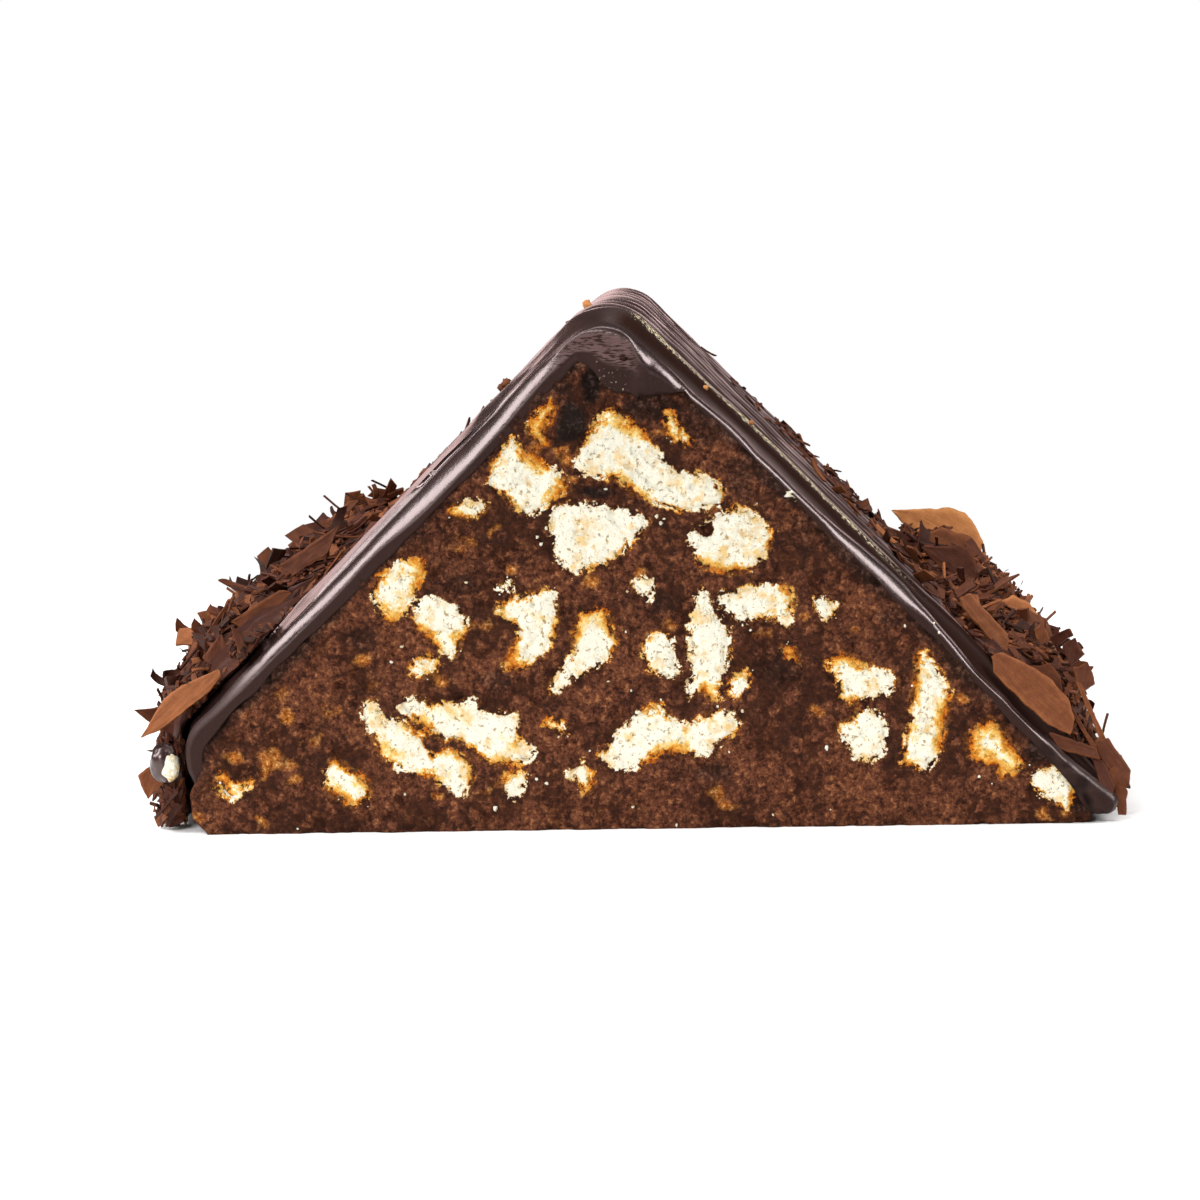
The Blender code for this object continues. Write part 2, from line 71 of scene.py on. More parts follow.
# The dough's and the glaze's cross-sections: (corner, radius of its rounding)
DOUGH_CORNERS = (
    ((-70.5, 0.0), 1.5),
    ((70.0, 0.0), 1.5),
    ((67.5, 6.0), 5.0),
    ((61.5, 13.2), 6.0),
    ((-5.5, 80.8), 14.0),
    ((-71.8, 13.9), 5.0),
)
GLAZE_FOOT = 1.4
GLAZE_CORNERS = (
    ((-73.0, GLAZE_FOOT), 0.6),
    ((73.0, GLAZE_FOOT), 0.6),
    ((74.2, 3.6), 1.5),
    ((-6.5, 84.1), 7.5),
    ((-74.4, 15.5), 6.0),
)
GLAZE_BACK = 3.0
BACK_TAPER = 0.022  # share by which the loaf is smaller at its back end
GLAZE_BACK_ROUND = 2.4
RIB_PITCH, RIB_HEIGHT, RIB_MEANDER, RIB_FOOT_FADE, RIB_START = 27.0, 1.5, 3.2, 22.0, 9.0

# The lip of glaze round the cut: the shares of its width where its rings lie, the width that turns over
# the rim, the part of its waves that reaches the slope, and how far it stands back at the uncoated foot
LIP_SHARES = np.array((0, 0.03, 0.08, 0.14, 0.2, 0.26, 0.31, 0.35, 0.39, 0.44, 0.5, 0.56, 0.62, 0.67, 0.72,
                       0.76, 0.8, 0.84, 0.87, 0.9, 0.93, 0.96, 0.98, 1.0))
LIP_TURN, LIP_WAVE, BARE_SET_BACK = 0.4, 0.8, 1.4
# How far the rim is drawn in from the right slope: (height, mm)
LIP_INSET = ((3, 0.0), (8, 0.6), (12, 1.2), (18, 1.7), (25, 1.5), (30, 0.9), (34, 0.1), (38, -0.2),
             (44, 0.1), (50, 0.7), (60, 0.9), (70, 0.8), (76, 1.0))
# The smear at the peak: how far it hangs down over the dough (x, mm), and its depth behind the cut at
# shares of the lip's width, in its middle and at its sides
SMEAR_DROP = ((-10.6, 0), (-8.3, 2.2), (-6.8, 4.7), (-5, 5.7), (-2, 5.5), (1, 4.6), (4, 2.2), (6, 0))
SMEAR_MIDDLE = ((0, 0.2), (0.03, -0.30), (0.2, -0.42), (0.32, -0.46), (0.37, -0.58), (0.42, -0.42),
                (0.6, 0.05), (0.8, 0.0), (0.88, -0.32), (0.94, -0.05), (1, 1.9))
SMEAR_SIDES = ((0, 0.2), (0.04, -0.2), (0.3, 0.1), (0.6, 0.15), (0.8, -0.05), (0.9, -0.3), (1, 1.9))

# Broken biscuits in the cut: outline (x, z), and how toasted each piece is from 0 to 1
BISCUITS = {
    "peak_slab": (0.25, [(-8, 65), (-5.3, 66.6), (-3, 65), (-0.5, 63.5), (1, 61), (3, 58.3), (5.8, 56.5),
                         (9.5, 56), (12, 53.2), (11, 51.2), (5.7, 50.3), (2, 51.1), (-2, 53), (-5, 55.2),
                         (-9.5, 56), (-11.8, 57.5), (-11.3, 59.3), (-9.6, 62)]),
    "peak_chip": (0.8, [(2.6, 65.8), (3.8, 66), (5.3, 64), (6.8, 61.5), (5.3, 60.8), (3, 62.5)]),
    "peak_left": (0.45, [(-25.3, 55), (-24.5, 57.5), (-22.8, 60.8), (-21, 62.7), (-19.5, 60.3),
                         (-16.3, 58.5), (-13.8, 57), (-12.5, 55), (-13.5, 53.3), (-16.2, 51.2),
                         (-18.6, 49.9), (-21, 51.2), (-23, 53.5)]),
    "peak_stem": (0.95, [(-19, 63.5), (-18, 65.8), (-15.5, 68), (-14.8, 66.5), (-16, 63), (-15.5, 61),
                         (-17, 61.5)]),
    "upper_middle": (0.1, [(-15.8, 48.5), (-15, 51.2), (-11.5, 51.9), (-7, 51.4), (-3.8, 50.6),
                           (-0.4, 49.6), (-0.6, 47.8), (-3, 45), (-5, 43), (-9, 41.7), (-12.5, 40.3),
                           (-13.3, 42), (-15, 43.6), (-15.3, 46)]),
    "upper_right": (0.3, [(6.3, 46), (7.5, 48), (10.5, 49.5), (13.3, 50.8), (16.2, 50.6), (18.2, 48.8),
                          (19.4, 46), (18.2, 43), (15.2, 40.8), (11.3, 40.6), (7.6, 42), (6.8, 44.5)]),
    "left_flake": (0.35, [(-31.5, 50.2), (-29.3, 52.5), (-26.8, 52.6), (-25.3, 51.2), (-27.6, 49.9),
                          (-29.5, 50.3)]),
    "left_oval": (0.4, [(-44, 37.5), (-42, 41.5), (-38.5, 43.5), (-36, 43.8), (-35.3, 41.5), (-37, 37.5),
                        (-39.5, 34), (-40.8, 33), (-42.5, 35)]),
    "left_lump": (0.3, [(-37.3, 33.5), (-35.5, 37.5), (-32.5, 36.8), (-28.8, 34), (-30, 30.5),
                        (-31, 27.8), (-33, 28.5), (-35.2, 31)]),
    "left_crumb": (0.5, [(-38, 25.2), (-37.5, 27.5), (-35, 28.3), (-33.5, 27), (-35, 25)]),
    "middle_hook": (0.45, [(-24.3, 34.8), (-22.8, 36.6), (-18, 38), (-15.3, 38.4), (-14.8, 34.5),
                           (-15.4, 30.5), (-17, 27.8), (-20, 26), (-23.5, 26), (-22, 29), (-21, 32.3)]),
    "middle_bean": (0.45, [(-16, 22.3), (-14.7, 25.3), (-12.2, 28.5), (-12.5, 30.5), (-11, 34.5),
                           (-7.5, 35), (-6, 32), (-5.3, 29.2), (-6.5, 27.3), (-9.7, 25), (-13, 23.5),
                           (-15, 21.8)]),
    "middle_egg": (0.15, [(-1.4, 28.5), (-0.5, 30.6), (1.5, 31.2), (3.3, 30.3), (4, 27.8), (4.4, 24.5),
                          (2, 24.3), (-0.5, 25.5)]),
    "middle_bar": (0.2, [(6, 20.8), (5.7, 23), (6.6, 25.3), (5.9, 27.3), (6.1, 30), (5.6, 32.5),
                         (7.2, 35.5), (7.5, 37.8), (9, 37.6), (9.4, 35), (11.3, 33.3), (12.6, 30),
                         (12, 26.4), (11.4, 23.5), (10.7, 20.4), (9, 20.7), (7.9, 22)]),
    "right_wedge": (0.15, [(10.4, 36.6), (14.3, 37.9), (18.5, 38.9), (21.9, 38), (22.6, 36), (21.8, 32),
                           (19.3, 33.1), (14, 32.7), (12.4, 34.2)]),
    "bar_chip": (0.9, [(12.2, 23.4), (13, 24.4), (15.4, 25.2), (15, 22.2), (13, 20.5), (12.2, 21.5)]),
    "middle_chip": (0.1, [(-2.6, 39.3), (-1, 40.1), (0.6, 39.3), (0.3, 36.2), (-1.3, 37.3)]),
    "low_slab": (0.25, [(-8.7, 11.5), (-6, 14.8), (-4.2, 16.5), (-2.8, 18.4), (-0.3, 19.6), (1.4, 20),
                        (3.5, 17.6), (5.7, 16.8), (10, 18.6), (12.6, 18.2), (13.9, 16), (12.4, 14.3),
                        (10.3, 13.2), (9, 11.3), (5, 11.9), (1.4, 11.8), (-2, 10), (-4, 9), (-7, 10)]),
    "low_sliver": (0.5, [(-17.2, 16.8), (-15.8, 18), (-13.8, 16.9), (-13, 15.2), (-15, 15.5)]),
    "low_shard": (0.2, [(-13.6, 8.9), (-10.8, 11), (-9.5, 9), (-9.9, 6.6), (-11, 6.1), (-12.2, 7.5)]),
    "low_left_slab": (0.15, [(-40.2, 20.2), (-38.8, 21.4), (-35, 20.7), (-31.5, 20.5), (-28.2, 20.8),
                             (-26, 18.8), (-21.4, 18.5), (-21.4, 15.5), (-18.2, 12.3), (-20.5, 10.5),
                             (-25, 10.6), (-27.5, 11.8), (-30, 14.2), (-33, 14.8), (-35, 16),
                             (-37.5, 18)]),
    "low_left_wing": (0.3, [(-45.8, 18.5), (-45.2, 20.8), (-43.3, 20.8), (-42.5, 18.8), (-39, 17.5),
                            (-36.3, 15.3), (-35, 12.6), (-32, 13.2), (-29.5, 11.6), (-28.5, 8),
                            (-30.4, 5.7), (-32.5, 6.3), (-35.5, 8.9), (-39.5, 9.4), (-42.8, 12),
                            (-44, 15)]),
    "low_left_amber": (0.7, [(-52, 8), (-51, 11.6), (-49, 11), (-46.3, 9.3), (-44.7, 7), (-45.5, 5.2),
                              (-47.2, 4.2), (-49.5, 5.5)]),
    "left_foot": (0.15, [(-68.7, 9), (-67.5, 9.8), (-65.8, 8), (-63, 8.6), (-62.5, 7.2), (-64.6, 5.8),
                         (-66.6, 6.4)]),
    "low_peg": (0.2, [(-23.6, 6), (-23.3, 9.3), (-20.3, 9.3), (-20, 7.5), (-21.5, 5.3)]),
    "right_slab": (0.25, [(27.4, 26.3), (30.8, 27.4), (33, 26), (36.5, 25), (38.6, 23.7), (38.4, 21.8),
                          (36, 20.6), (32.7, 20.3), (31.2, 19.4), (29.5, 20.5), (29.2, 23.2),
                          (27.8, 25)]),
    "right_drop": (0.25, [(29.5, 16), (31.5, 17), (33, 19), (35.4, 18.2), (37, 16), (36.9, 13),
                          (36.2, 11), (33.5, 10.3), (31.5, 11.2), (30.4, 13)]),
    "right_bar": (0.2, [(39.2, 10), (39.6, 12.8), (40.4, 15.5), (41, 20.5), (41.8, 26.3), (43, 27.8),
                        (44.7, 26), (46.8, 22), (47, 20), (46.5, 17), (45.8, 13.5), (45, 10.6),
                        (43, 8.6), (41.3, 9.3)]),
    "right_amber": (1.0, [(49.6, 13), (50.5, 15), (53.4, 16.7), (55.2, 15), (57, 12.7), (58.6, 9.7),
                          (57.6, 8.2), (55.4, 7.4), (53.8, 9.2), (50.8, 10.2)]),
    "right_foot": (0.2, [(60, 7.5), (61.2, 9), (63.8, 8.6), (66, 6.6), (66.8, 5), (66, 2.6), (65, 2),
                         (63.3, 3.5), (60.5, 5)]),
    "right_nib": (0.6, [(20.6, 28.3), (22, 28.5), (23.5, 26.8), (22.5, 26.2)]),
    "right_splinter": (0.55, [(25.2, 36.5), (26.5, 36.3), (29.5, 35.5), (28.5, 33), (26.5, 33.2)]),
    "hook_chip": (0.2, [(-24.4, 38.5), (-22.5, 39.9), (-21.3, 39.5), (-21.8, 38.2)]),
}
BISCUIT_TAPER = 0.82
# The biscuit with a hole in its front, and the hole's place
HOLED, HOLE_X, HOLE_Z = "upper_right", 9.0, 47.3

# Caramel stains in the cut, too small to be pieces: (x, z, size)
STAINS = (
    (-60.5, 12.2, 4.0), (-64.3, 18.9, 1.5), (-58.6, 21.8, 1.4), (-57.5, 18.6, 1.8), (-50.7, 19.3, 1.8),
    (-42.9, 23.6, 1.6), (-45.4, 27.5, 1.5), (-60.7, 2.1, 1.3), (-70.0, 2.9, 1.2), (-9.5, 39.2, 1.8),
    (-28.6, 46.4, 1.8), (-24.3, 47.8, 1.4), (32.3, 31.5, 1.2), (48.8, 20.0, 1.2), (25.8, 18.5, 1.5),
    (9.5, 5.7, 1.6), (12.0, 3.4, 1.4), (-34.3, 5.7, 1.2), (3.0, 32.2, 1.3), (18.0, 30.7, 1.6),
    (61.5, 1.5, 1.8), (65.0, 1.6, 1.8), (-26.8, 6.3, 1.0), (-18.5, 70.0, 1.4), (-21.5, 64.5, 1.6),
    (-13.0, 66.5, 1.3), (-1.5, 40.5, 1.2), (-53.0, 14.5, 1.8), (-66.0, 12.5, 1.6), (-56.5, 8.5, 1.5),
    (-17.2, 60.6, 1.8), (-12.6, 58.2, 2.0), (-14.0, 60.5, 1.6), (-11.6, 55.4, 1.6), (-18.0, 66.6, 1.8),
    (1.8, 62.6, 1.4), (7.4, 60.2, 1.4), (-21.6, 13.2, 1.8), (-23.0, 7.6, 1.6), (-26.5, 33.0, 1.8),
    (-30.5, 44.6, 1.6), (-22.0, 41.6, 1.4), (-33.4, 23.8, 1.4), (18.8, 34.4, 1.4), (24.4, 33.6, 1.2),
)
# Dark spots: (x, z, half width, half height, strength), for the bit of dark chocolate by the peak, the
# hollow beside it, darkened as painted shade, and the smears where glaze soaked in
DARK_SPOTS = (
    (-12.3, 64.6, 2.7, 4.8, 1.0), (-8.9, 70.6, 2.0, 3.4, 1.0), (-13.8, 70.5, 2.6, 2.2, 0.6),
    (0.5, 66.6, 6.5, 2.6, 0.7), (8.5, 63.0, 3.5, 5.0, 0.5), (14.5, 55.5, 2.5, 4.0, 0.5),
    (24.5, 47.5, 2.2, 4.0, 0.4), (62.5, 12.0, 4.5, 2.6, 0.9), (67.5, 6.5, 2.4, 4.5, 0.8),
    (-19.5, 57.0, 1.0, 1.0, 0.2), (8.6, 54.4, 1.5, 0.8, 0.5), (-8.0, 53.5, 2.8, 1.0, 0.9),
    (-30.0, 39.0, 4.5, 2.0, 0.4), (19.5, 25.0, 4.0, 3.0, 0.4), (-24.0, 24.0, 3.0, 1.6, 0.5),
    (2.0, 36.0, 3.0, 2.0, 0.4), (9.0, 8.8, 4.0, 1.4, 0.5), (-31.0, 17.3, 4.0, 1.0, 0.6),
    (-45.5, 31.0, 3.0, 2.5, 0.4), (-58.0, 28.0, 4.0, 2.4, 0.5), (38.0, 33.0, 3.0, 1.6, 0.5),
)
# Loose crumbs of biscuit on the cut: (x, z, size)
WHITE_CRUMBS = (
    (-28.9, 39.6, 0.6), (-39.3, 29.6, 0.7), (-39.3, 6.1, 0.5), (-17.0, 45.5, 0.9), (1.9, 48.5, 0.8),
    (-6.7, 54.0, 0.6), (-3.6, 37.8, 0.6), (-3.9, 31.4, 0.5), (-6.8, 23.6, 0.5), (-3.2, 22.1, 0.4),
    (14.3, 18.6, 0.6), (12.1, 12.1, 0.4), (27.5, 12.5, 0.8), (15.7, 31.4, 0.6), (-18.4, 8.2, 0.6),
    (-16.8, 7.5, 0.6), (-3.2, 3.6, 0.6), (3.6, 0.6, 0.6), (18.9, 2.0, 0.4), (28.0, 2.7, 0.4),
    (44.6, 32.1, 0.6), (45.4, 30.6, 0.5), (40.0, 31.7, 0.6), (51.5, 7.7, 0.6), (53.5, 6.5, 0.4),
    (-56.4, 0.8, 0.5), (-25.0, 3.6, 0.9), (-16.2, 48.0, 0.7), (-17.6, 46.6, 0.6), (1.2, 49.6, 0.6),
    (2.4, 49.2, 0.5), (10.4, 19.4, 0.5), (-9.9, 12.6, 0.5), (-41.0, 27.2, 0.5),
)

# Chocolate plates: (y, lean, turn) in mm and degrees, tone from 0 (dark) to 1 (milk), and outline (x, z)
PLATES = {
    "plate_right_front": (-117, -20, 8, 0.50, [(53.9, 26.2), (55.6, 26.8), (63, 22.7), (65.9, 19.1),
                          (66.8, 16.3), (66.1, 13.9), (62.6, 15.6), (58.8, 18.9), (54.2, 23.6)]),
    "plate_right_slope": (-88, -30, 16, 0.52, [(50.9, 32.9), (52.7, 33.3), (58.9, 26.4), (58.4, 23.8),
                          (55.2, 26.6), (51.4, 31.2)]),
    "plate_right_low": (-45, -24, -14, 0.72, [(59.4, 26.8), (63.2, 28.9), (66.2, 27.4), (69.2, 23.4),
                        (65.6, 21.6), (61, 23.4)]),
    "plate_right_dark": (20, -20, 20, 0.25, [(55.3, 27), (60, 28.2), (64.1, 26.8), (66, 23.6),
                         (66.5, 19.1), (65.4, 17.2), (61, 21.2)]),
    "plate_right_steep": (66, -16, -18, 0.45, [(53, 30.4), (58, 32.2), (63.6, 30.4), (66.8, 26),
                          (67, 21.6), (60.4, 22.8)]),
    "plate_right_far": (108, -10, 6, 0.85, [(49.8, 33), (62.1, 33.2), (65.1, 32.3), (67, 30.4),
                        (69.1, 26), (68.6, 23), (60.4, 22.8), (54, 27.8)]),
    "plate_left_front": (-117, -18, -8, 0.60, [(-81.1, 15.5), (-77.9, 21), (-74.8, 23.5),
                         (-68.5, 26.1), (-68.2, 25), (-70, 22.8), (-74.3, 19.4), (-78.3, 16.6)]),
    "plate_left_point": (-102, -24, 10, 0.3, [(-70, 30), (-68.3, 25.8), (-70.7, 24.3), (-73, 26.4)]),
    "plate_left_middle": (-46, -26, 14, 0.6, [(-77, 24.6), (-71.5, 29), (-65.6, 31.4), (-66.6, 28.8),
                          (-71, 24.8), (-75.4, 22.8)]),
    "plate_left_rear": (10, -22, -16, 0.35, [(-77.8, 26.8), (-72, 30.8), (-67.1, 33), (-64.4, 32.6),
                        (-69.1, 27.6), (-74.5, 25)]),
    "plate_left_far": (94, -14, -10, 0.35, [(-77.4, 28.5), (-73, 31.8), (-68, 34.3), (-64.2, 37.6),
                       (-62, 38), (-66.4, 31.6), (-71, 28), (-74.9, 26.4)]),
}
PLATE_THICK, SHARD_THICK = 1.0, 0.6
# Smaller shards that lie in the banks: as the plates
SHARDS = (
    (-60, -20, -12, 0.62, [(55.0, 23.9), (57.7, 24.6), (58.9, 24.0), (60.8, 21.8), (57.2, 20.2),
                           (54.8, 21.4)]),
    (0, -15, 14, 0.22, [(49.5, 34.2), (58.0, 34.0), (59.8, 31.2), (60.3, 27.0), (59.2, 24.6),
                        (55.0, 28.4)]),
    (-105, -10, -30, 0.20, [(66.2, 26.6), (68.2, 27.9), (69.6, 25.3), (67.4, 23.4)]),
    (-107, -24, 26, 0.32, [(67.6, 23.2), (70.2, 24.1), (71.0, 20.6), (68.6, 19.2)]),
    (-103, -4, -50, 0.12, [(64.6, 27.6), (67.2, 29.2), (67.8, 28.2), (65.4, 26.2)]),
    (-95, -14, 10, 0.45, [(62.4, 28.3), (63.9, 29.1), (65.0, 26.5), (63.4, 25.7)]),
    (-108, -12, 6, 0.34, [(59.0, 23.4), (63.8, 24.0), (65.7, 22.0), (65.7, 18.1), (62.2, 20.6)]),
    (-115.5, -8, 4, 0.42, [(64.6, 20.4), (65.6, 19.6), (72.9, 7.4), (72.4, 6.5)]),
    (-114, -8, 12, 0.55, [(67.3, 22.0), (68.2, 21.4), (72.5, 11.6), (72.0, 10.4)]),
    (-117.5, -35, 6, 0.30, [(61.8, 12.6), (63.0, 14.0), (70.4, 11.4), (70.8, 9.8), (66.0, 11.0)]),
    (-98, -12, 14, 0.25, [(-84.8, 17.6), (-80.0, 13.6), (-75.5, 12.4), (-76.4, 16.4), (-79.5, 18.0)]),
    (-80, -10, -8, 0.58, [(-67.6, 28.3), (-62.9, 30.0), (-63.7, 28.3), (-66.1, 27.5)]),
    (-90, -14, 8, 0.40, [(-69.5, 31.0), (-61.5, 36.0), (-59.4, 35.6), (-63.0, 31.4), (-67.0, 29.4)]),
    (-70, -14, -8, 0.30, [(-63.5, 38.2), (-57.5, 42.2), (-53.0, 45.0), (-54.8, 40.6), (-61.6, 36.2)]),
    (-112, -16, 6, 0.48, [(-82.5, 8.6), (-77.8, 12.4), (-76.9, 9.0), (-81.0, 4.8)]),
    (-117.8, -10, 14, 0.38, [(72.0, 7.6), (73.2, 8.6), (75.2, 4.6), (74.8, 0.9), (73.6, 0.7),
                             (73.2, 4.0)]),
    (-116.8, -16, -8, 0.30, [(70.2, 12.2), (72.4, 12.8), (75.6, 8.0), (75.2, 5.4), (72.6, 6.6)]),
    (-118.4, -28, 10, 0.20, [(69.6, 9.8), (71.2, 9.6), (73.0, 5.6), (72.2, 3.4), (70.8, 5.8)]),
)

# The glazed crumb at the left foot
CRUMB_CENTRE = (-77.7, -116.8, 11.2)
CRUMB_RADII = (2.5, 2.7, 3.5)

# The banks of shavings: (height on the glaze's outer line, thickness outside it)
RIGHT_BANK = ((4.2, 1.4), (8.3, 3.4), (11.5, 5.6), (15.5, 8.4), (19.5, 8.6), (23.5, 6.0), (26.5, 3.0))
LEFT_BANK = ((1.6, 6.4), (7.0, 6.6), (12.5, 6.2), (15.5, 6.6), (18.5, 7.8), (23.0, 8.6), (28.0, 7.0),
             (33.0, 3.2))
BANK_FRONT_Y, BANK_BACK_Y = -111.0, 118.0
# Shares of the shavings that lie on a bank's front end and on its back end, and the flakes on the slopes
FRONT_SHARE, REAR_SHARE, STUCK_FLAKES = 0.14, 0.08, 900

# Camera: where it stands and looks, its roll, and the lens for a 36 mm sensor
CAMERA_AT = (4.9, -769.0, 98.4)
CAMERA_TO = (-7.9, -120.0, 36.5)
CAMERA_ROLL = 0.95
CAMERA_LENS = 124.2


# Numbers ------------------------------------------------------------------------------------------


def hashed(cells, seed):
    """A number from 0 to 1 for each whole-number cell (n, 3): its coordinates times large odd numbers,
    added, and mixed by shifts and multiplications."""
    grid = cells.astype(np.int64).astype(np.uint64)
    mixed = grid[:, 0] * np.uint64(374761393) + grid[:, 1] * np.uint64(668265263)
    mixed = mixed + grid[:, 2] * np.uint64(2246822519) + np.uint64(seed * 3266489917 + 97)
    mixed = (mixed ^ (mixed >> np.uint64(13))) * np.uint64(1274126177)
    mixed = (mixed ^ (mixed >> np.uint64(16))) & np.uint64(0xFFFFFF)
    return mixed.astype(float) / 0xFFFFFF


def noise(points, size, seed=0):
    """Smooth random relief from -1 to 1 at points (n, 3): random values on a cubic lattice of that size,
    blended along each axis by 3t^2 - 2t^3."""
    spots = np.atleast_2d(points) / size
    cell = np.floor(spots)
    blend = (spots - cell) ** 2 * (3 - 2 * (spots - cell))
    total = np.zeros(len(spots))
    for corner in product((0, 1), repeat=3):
        weight = np.prod(np.where(corner, blend, 1 - blend), axis=1)
        total += weight * hashed(cell + corner, seed)
    return 2 * total - 1


def crumple(points, size, octaves, seed=0):
    """Noise over several sizes: each octave is half the size and half the height of the last."""
    return sum(noise(points, size / 2**k, seed + k) / 2**k for k in range(octaves))


def smooth_step(low, high, value):
    """0 at low, 1 at high, and 3t^2 - 2t^3 between them."""
    t = np.clip((value - low) / (high - low), 0, 1)
    return t * t * (3 - 2 * t)


def arc_lengths(path):
    """The distance along a polyline at each of its points."""
    return np.r_[0, np.cumsum(np.linalg.norm(np.diff(path, axis=0), axis=1))]


def resampled(path, where):
    """The polyline's points at the given shares, from 0 to 1, of its length."""
    along = arc_lengths(path)
    return np.stack([np.interp(where * along[-1], along, path[:, k]) for k in range(path.shape[1])], 1)


def curved_outline(corners, count):
    """A closed curve through the corners, as Catmull-Rom cubics, at that many even steps."""
    p1 = np.array(corners, float)
    p0, p2, p3 = np.roll(p1, 1, 0), np.roll(p1, -1, 0), np.roll(p1, -2, 0)
    t = np.linspace(0, 1, 12, endpoint=False)[None, :, None]
    p0, p1, p2, p3 = (p[:, None, :] for p in (p0, p1, p2, p3))
    curve = 0.5 * (2 * p1 + (p2 - p0) * t + (2 * p0 - 5 * p1 + 4 * p2 - p3) * t**2
                   + (3 * p1 - p0 - 3 * p2 + p3) * t**3)
    curve = curve.reshape(-1, 2)
    closed = np.r_[curve, curve[:1]]
    return resampled(closed, np.arange(count) / count)


def rounded_outline(corners, step=6.0):
    """The closed outline through (corner, radius) pairs: at each corner an arc that touches both sides,
    with a point every step degrees."""
    points = [np.array(corner, float) for corner, _ in corners]
    outline = []
    for i, (corner, (_, radius)) in enumerate(zip(points, corners)):
        back = points[i - 1] - corner
        ahead = points[(i + 1) % len(points)] - corner
        back, ahead = back / np.hypot(*back), ahead / np.hypot(*ahead)
        half = math.acos(np.clip(back @ ahead, -1, 1)) / 2
        middle = (back + ahead) / np.hypot(*(back + ahead))
        centre = corner + middle * radius / math.sin(half)
        start = corner + back * radius / math.tan(half) - centre
        end = corner + ahead * radius / math.tan(half) - centre
        first, last = math.atan2(start[1], start[0]), math.atan2(end[1], end[0])
        sweep = (last - first + math.pi) % (2 * math.pi) - math.pi
        count = max(2, round(math.degrees(abs(sweep)) / step))
        angles = first + sweep * np.arange(count + 1) / count
        outline += [centre + radius * np.array((math.cos(a), math.sin(a))) for a in angles]
    return np.array(outline)


def inside_distance(points, outline):
    """How far each point (n, 2) lies inside a closed outline, negative outside: the distance to the
    nearest side, with its sign from how often a ray to the left crosses the outline."""
    a, b = outline, np.roll(outline, -1, 0)
    side = b - a
    to_point = points[:, None, :] - a
    share = np.clip((to_point * side).sum(2) / (side**2).sum(1), 0, 1)
    distance = np.sqrt(((to_point - share[..., None] * side) ** 2).sum(2)).min(1)
    height = points[:, None, 1]
    level = (a[:, 1] > height) != (b[:, 1] > height)
    rise = np.where(side[:, 1] == 0, 1e-12, side[:, 1])
    crossed = level & (points[:, None, 0] < side[:, 0] * (height - a[:, 1]) / rise + a[:, 0])
    return np.where(crossed.sum(1) % 2 == 1, distance, -distance)


def grid_faces(rows, columns, around=False):
    """The four-cornered faces of a grid of points, row by row; around joins the last column to the first."""
    index = np.arange(rows * columns).reshape(rows, columns)
    if around:
        index = np.c_[index, index[:, :1]]
    faces = np.stack((index[:-1, :-1], index[:-1, 1:], index[1:, 1:], index[1:, :-1]), 2)
    return faces.reshape(-1, 4)


def turned(facing, lengthwise):
    """Rotations (n, 3, 3) whose columns are the length, the width and the face of a flake."""
    facing = facing / np.linalg.norm(facing, axis=1, keepdims=True)
    lengthwise = lengthwise - facing * (facing * lengthwise).sum(1, keepdims=True)
    lengthwise /= np.linalg.norm(lengthwise, axis=1, keepdims=True)
    return np.stack((lengthwise, np.cross(facing, lengthwise), facing), 2)


def tapered(points):
    """The loaf's points, drawn in evenly towards its base line by BACK_TAPER from the cut to the back."""
    share = np.clip((points[:, 1:2] - FRONT_Y) / (BACK_Y - FRONT_Y), 0, 1)
    return np.where([True, False, True], points * (1 - BACK_TAPER * share), points)


# Pieces -------------------------------------------------------------------------------------------


def put_mesh(name, points, faces, finish, marks=None, stands_for=(), merge=False,
             sharp=None):
    """A finished piece on the body root: points in mm (n, 3), faces as blocks of equal rows, and marks as
    {name: one number, or one vector, a point} for its finish to read. Edges over sharp degrees stay
    crisp."""
    mesh = bpy.data.meshes.new(name)
    rows = [row for block in faces for row in np.asarray(block).tolist()]
    mesh.from_pydata((np.asarray(points) * MM).tolist(), [], rows)
    for key, values in (marks or {}).items():
        values = np.asarray(values, np.float32)
        vector = values.ndim == 2
        layer = mesh.attributes.new(key, "FLOAT_VECTOR" if vector else "FLOAT", "POINT")
        layer.data.foreach_set("vector" if vector else "value", values.ravel())
    bm = bmesh.new()
    bm.from_mesh(mesh)
    if merge:
        bmesh.ops.remove_doubles(bm, verts=bm.verts, dist=2e-6)
        bmesh.ops.dissolve_degenerate(bm, dist=1e-6, edges=bm.edges)
    bmesh.ops.recalc_face_normals(bm, faces=bm.faces)
    bm.to_mesh(mesh)
    bm.free()
    mesh.shade_smooth()
    if sharp:
        mesh.set_sharp_from_angle(angle=math.radians(sharp))
    mesh.materials.append(finish)
    piece = bpy.data.objects.new(name, mesh)
    bpy.context.scene.collection.objects.link(piece)
    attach(piece, "root")
    if stands_for:
        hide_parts(*stands_for)


